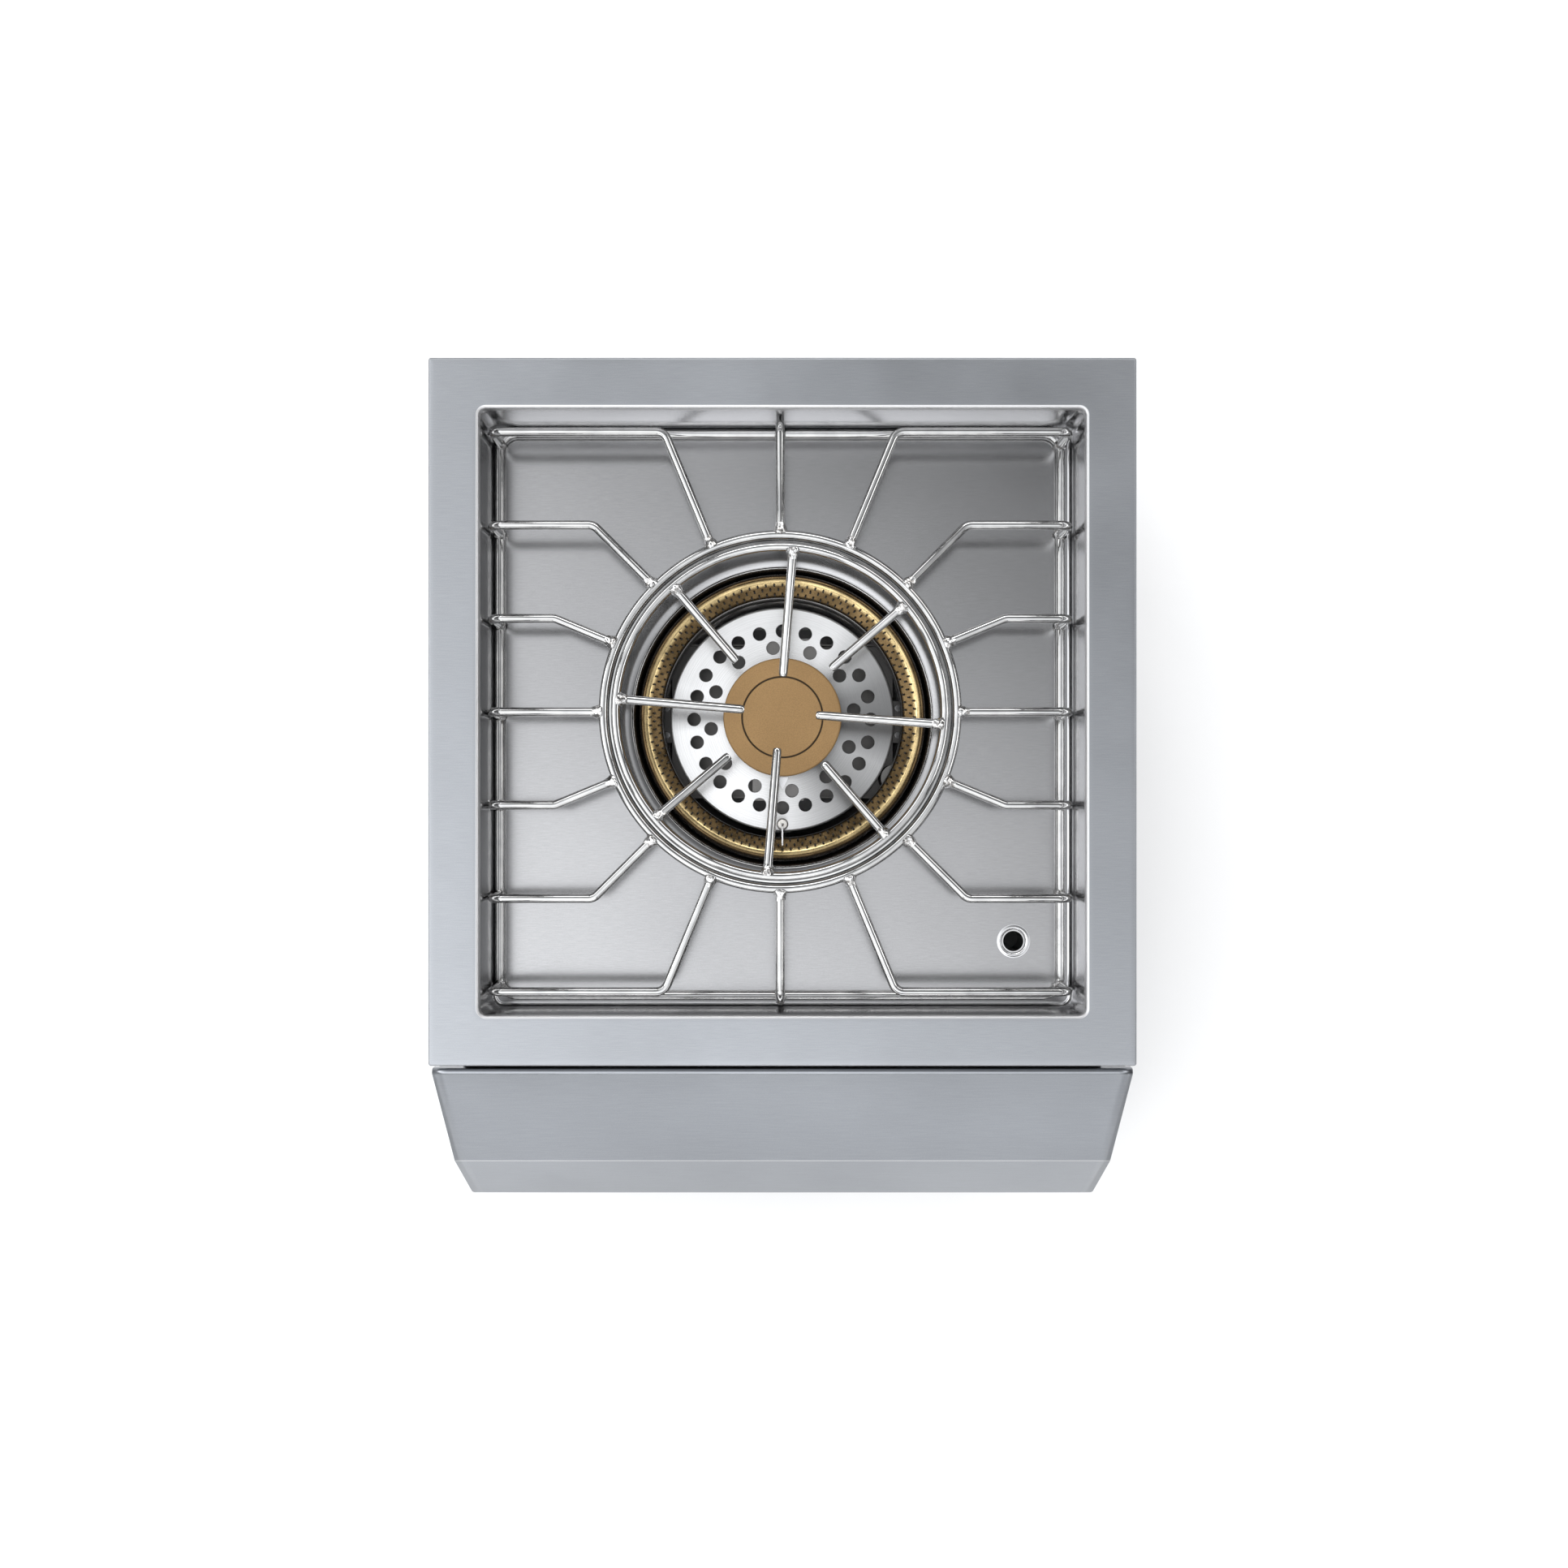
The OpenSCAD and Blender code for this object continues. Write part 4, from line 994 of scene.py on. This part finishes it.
def make_screws():
    """Screw heads of the casing, the panel and the bezels, each turned a little differently."""
    casing_z = 14
    forward = Vector((0, -1, 0))
    shape = Shape()
    side_x = box_mm("casing_right")[1].x
    rear_y = box_mm("casing_rear")[1].y - DECK_Y
    for side in (-1, 1):
        for i, y in enumerate((-240, -80, 80, 240)):
            screw_head(shape, Vector((side * side_x, y, casing_z)), Vector((side, 0, 0)), 4, i)
    for i, x in enumerate((-240, -80, 80)):
        screw_head(shape, Vector((x, rear_y, casing_z)), Vector((0, 1, 0)), 4, i + 0.4)
    piece("casing_screw_heads", shape, TRIM_STEEL_AND_WALL_LIGHT, "cabinet", ["casing_screws"], sharp=30)

    shape = Shape()
    for x in (-291, 291):
        for z in (16, 104):
            screw_head(shape, Vector((x, front(FACE_REACH), z)), forward, 3.5, x + z)
    piece("panel_screw_heads", shape, TRIM_STEEL_AND_WALL_LIGHT, "cabinet", ["panel_screws"], sharp=30)

    shape = Shape()
    for knob in (-KNOB_X, KNOB_X):
        for side in (-32.5, 32.5):
            screw_head(shape, Vector((knob + side, front(FACE_REACH + 4), KNOB_Z)), forward, 1.6, side)
    piece("bezel_screw_heads", shape, TRIM_STEEL_AND_WALL_LIGHT, "cabinet", ["bezel_screws"], sharp=30)


# ---------------------------------------------------------------- CAD nodes that keep their shape

def finish_cad_nodes():
    """Gives each CAD node that still shows its own material."""
    finishes = {
        "casing_steel": CASING_STEEL, "panel_steel": PANEL_STEEL, "bowl_steel": BOWL_STEEL,
        "burner_steel": TUBE_STEEL, "rod_steel": ROD_STEEL, "burner_brass": RING_BRASS,
        "fitting_brass": FITTING_BRASS, "cap_bronze": CAP_COAT, "knob_metal": TRIM_STEEL_AND_WALL_LIGHT,
        "trim_steel": TRIM_STEEL_AND_WALL_LIGHT, "insulator_ceramic": CERAMIC, "module_plastic": BLACK_PLASTIC,
        "lead_rubber": RED_SILICONE, "deck_steel": DECK_STEEL,
    }
    # The bracket and posts under the disc take the dark tube steel as painted shade, so that the disc's
    # holes read dark.
    shaded_under_disc = {"burner_bracket": TUBE_STEEL, "burner_posts": TUBE_STEEL}
    slots = {s["node"]: s["material_slot"] for s in frame["record"]["subparts"]}
    for name, node in frame["nodes"].items():
        finish = shaded_under_disc.get(name, finishes[slots[name]])
        if not node.material_slots:
            node.data.materials.append(finish)
        for slot in node.material_slots:
            slot.material = finish


make_deck()
make_pan()
make_bowl()
make_panel()
for knob_name, knob_side in (("left", -1), ("right", 1)):
    make_knob(knob_name, knob_side)
    make_bezel(knob_name, knob_side)
    make_spring(knob_name, knob_side)
make_grate()
make_wok_ring()
make_brass_ring()
make_disc()
make_cap()
make_igniter()
make_gas_inlet()
make_screws()
finish_cad_nodes()


# ---------------------------------------------------------------- camera, light and floor

LIGHT_REACH = 2.4
LIGHT_RISE = math.radians(36)
LIGHT_MIDDLE = Vector((0, 0.05, 0.2))
BOX_SIZE = (1.4, 0.7)
WALL_SIZE = (3.2, 0.8)
CAMERA_RISE = 1234
CAMERA_FORWARD = 81.7


def soft_light(name, turn, rise, size, brightness):
    """Adds a soft box that faces the object, with its brightness as radiance."""
    data = bpy.data.lights.new(name, "AREA")
    data.shape = "RECTANGLE"
    data.size, data.size_y = size
    data.energy = brightness * math.pi * size[0] * size[1]
    out = Vector((math.cos(turn) * math.cos(rise), math.sin(turn) * math.cos(rise), math.sin(rise)))
    obj = bpy.data.objects.new(name, data)
    obj.location = out * LIGHT_REACH + LIGHT_MIDDLE
    obj.rotation_euler = out.to_track_quat("Z", "Y").to_euler()
    obj.visible_camera = False
    scene.collection.objects.link(obj)


def make_floor():
    """Pale matte floor just under the object."""
    mesh = bpy.data.meshes.new("floor")
    size = 2.2
    z = -0.001
    corners = [(-size, -size, z), (size, -size, z), (size, size, z), (-size, size, z)]
    mesh.from_pydata(corners, [], [(0, 1, 2, 3)])
    floor = bpy.data.objects.new("floor", mesh)
    mesh.materials.append(Paint("floor", (0.92, 0.92, 0.92), 0.0, 0.9).material)
    scene.collection.objects.link(floor)


def make_room():
    """A bright ceiling above a dim room, brighter at the front and the left than at the back and the right.

    The camera itself sees a plain pale backdrop.
    """
    world = bpy.data.worlds.new("studio")
    world.use_nodes = True
    scene.world = world
    tree = world.node_tree
    place = tree.nodes.new("ShaderNodeTexCoord")
    split = tree.nodes.new("ShaderNodeSeparateXYZ")
    tree.links.new(place.outputs["Generated"], split.inputs["Vector"])
    ramp = tree.nodes.new("ShaderNodeValToRGB")
    ramp.color_ramp.interpolation = "EASE"
    stops = [(0.0, 0.50), (0.12, 0.40), (0.26, 0.10), (0.70, 0.10), (0.84, 1.30), (1.0, 1.38)]
    while len(ramp.color_ramp.elements) < len(stops):
        ramp.color_ramp.elements.new(0.5)
    for element, (at, grey) in zip(ramp.color_ramp.elements, stops):
        element.position = at
        element.color = (grey * 0.985, grey, grey * 1.02, 1)
    tree.links.new(split.outputs["Z"], ramp.inputs["Fac"])
    lean = tree.nodes.new("ShaderNodeVectorMath")
    lean.operation = "DOT_PRODUCT"
    lean.inputs[1].default_value = (-1.0, -1.3, 0)
    tree.links.new(place.outputs["Generated"], lean.inputs[0])
    share = tree.nodes.new("ShaderNodeMapRange")
    share.inputs["From Min"].default_value = -0.5
    share.inputs["From Max"].default_value = 0.5
    share.inputs["To Min"].default_value = 0.2
    share.inputs["To Max"].default_value = 1.8
    tree.links.new(lean.outputs["Value"], share.inputs["Value"])
    leaning = tree.nodes.new("ShaderNodeVectorMath")
    leaning.operation = "SCALE"
    tree.links.new(ramp.outputs["Color"], leaning.inputs[0])
    tree.links.new(share.outputs["Result"], leaning.inputs["Scale"])
    path = tree.nodes.new("ShaderNodeLightPath")
    mix = tree.nodes.new("ShaderNodeMix")
    mix.data_type = "RGBA"
    mix.inputs["B"].default_value = (0.95, 0.95, 0.95, 1)
    tree.links.new(path.outputs["Is Camera Ray"], mix.inputs["Factor"])
    tree.links.new(leaning.outputs["Vector"], mix.inputs["A"])
    tree.links.new(mix.outputs["Result"], tree.nodes["Background"].inputs["Color"])


def make_studio():
    """Soft boxes all round, brightest at the back and the left and dimmest at the front right."""
    make_floor()
    make_room()
    brightness = {0: 3.6, 45: 3.0, 90: 5.0, 135: 3.4, 180: 4.5, 225: 3.0, 270: 2.4, 315: 1.4}
    for turn, value in brightness.items():
        soft_light(f"soft_box_{turn}", math.radians(turn), LIGHT_RISE, BOX_SIZE, value)
    soft_light("front_wall", math.radians(270), math.radians(8), WALL_SIZE, 0.8)
    scene.view_settings.view_transform = "Standard"


def make_camera():
    """Camera straight above, as far away and with the same framing as the photograph."""
    data = bpy.data.cameras.new("camera")
    data.sensor_width = 36
    data.lens = 32.93
    data.shift_x = 0.001
    data.shift_y = 0.0145
    camera = bpy.data.objects.new("camera", data)
    camera.location = (0, (DECK_Y - CAMERA_FORWARD) / 1000, (TOP + CAMERA_RISE) / 1000)
    scene.collection.objects.link(camera)
    scene.camera = camera


make_studio()
make_camera()
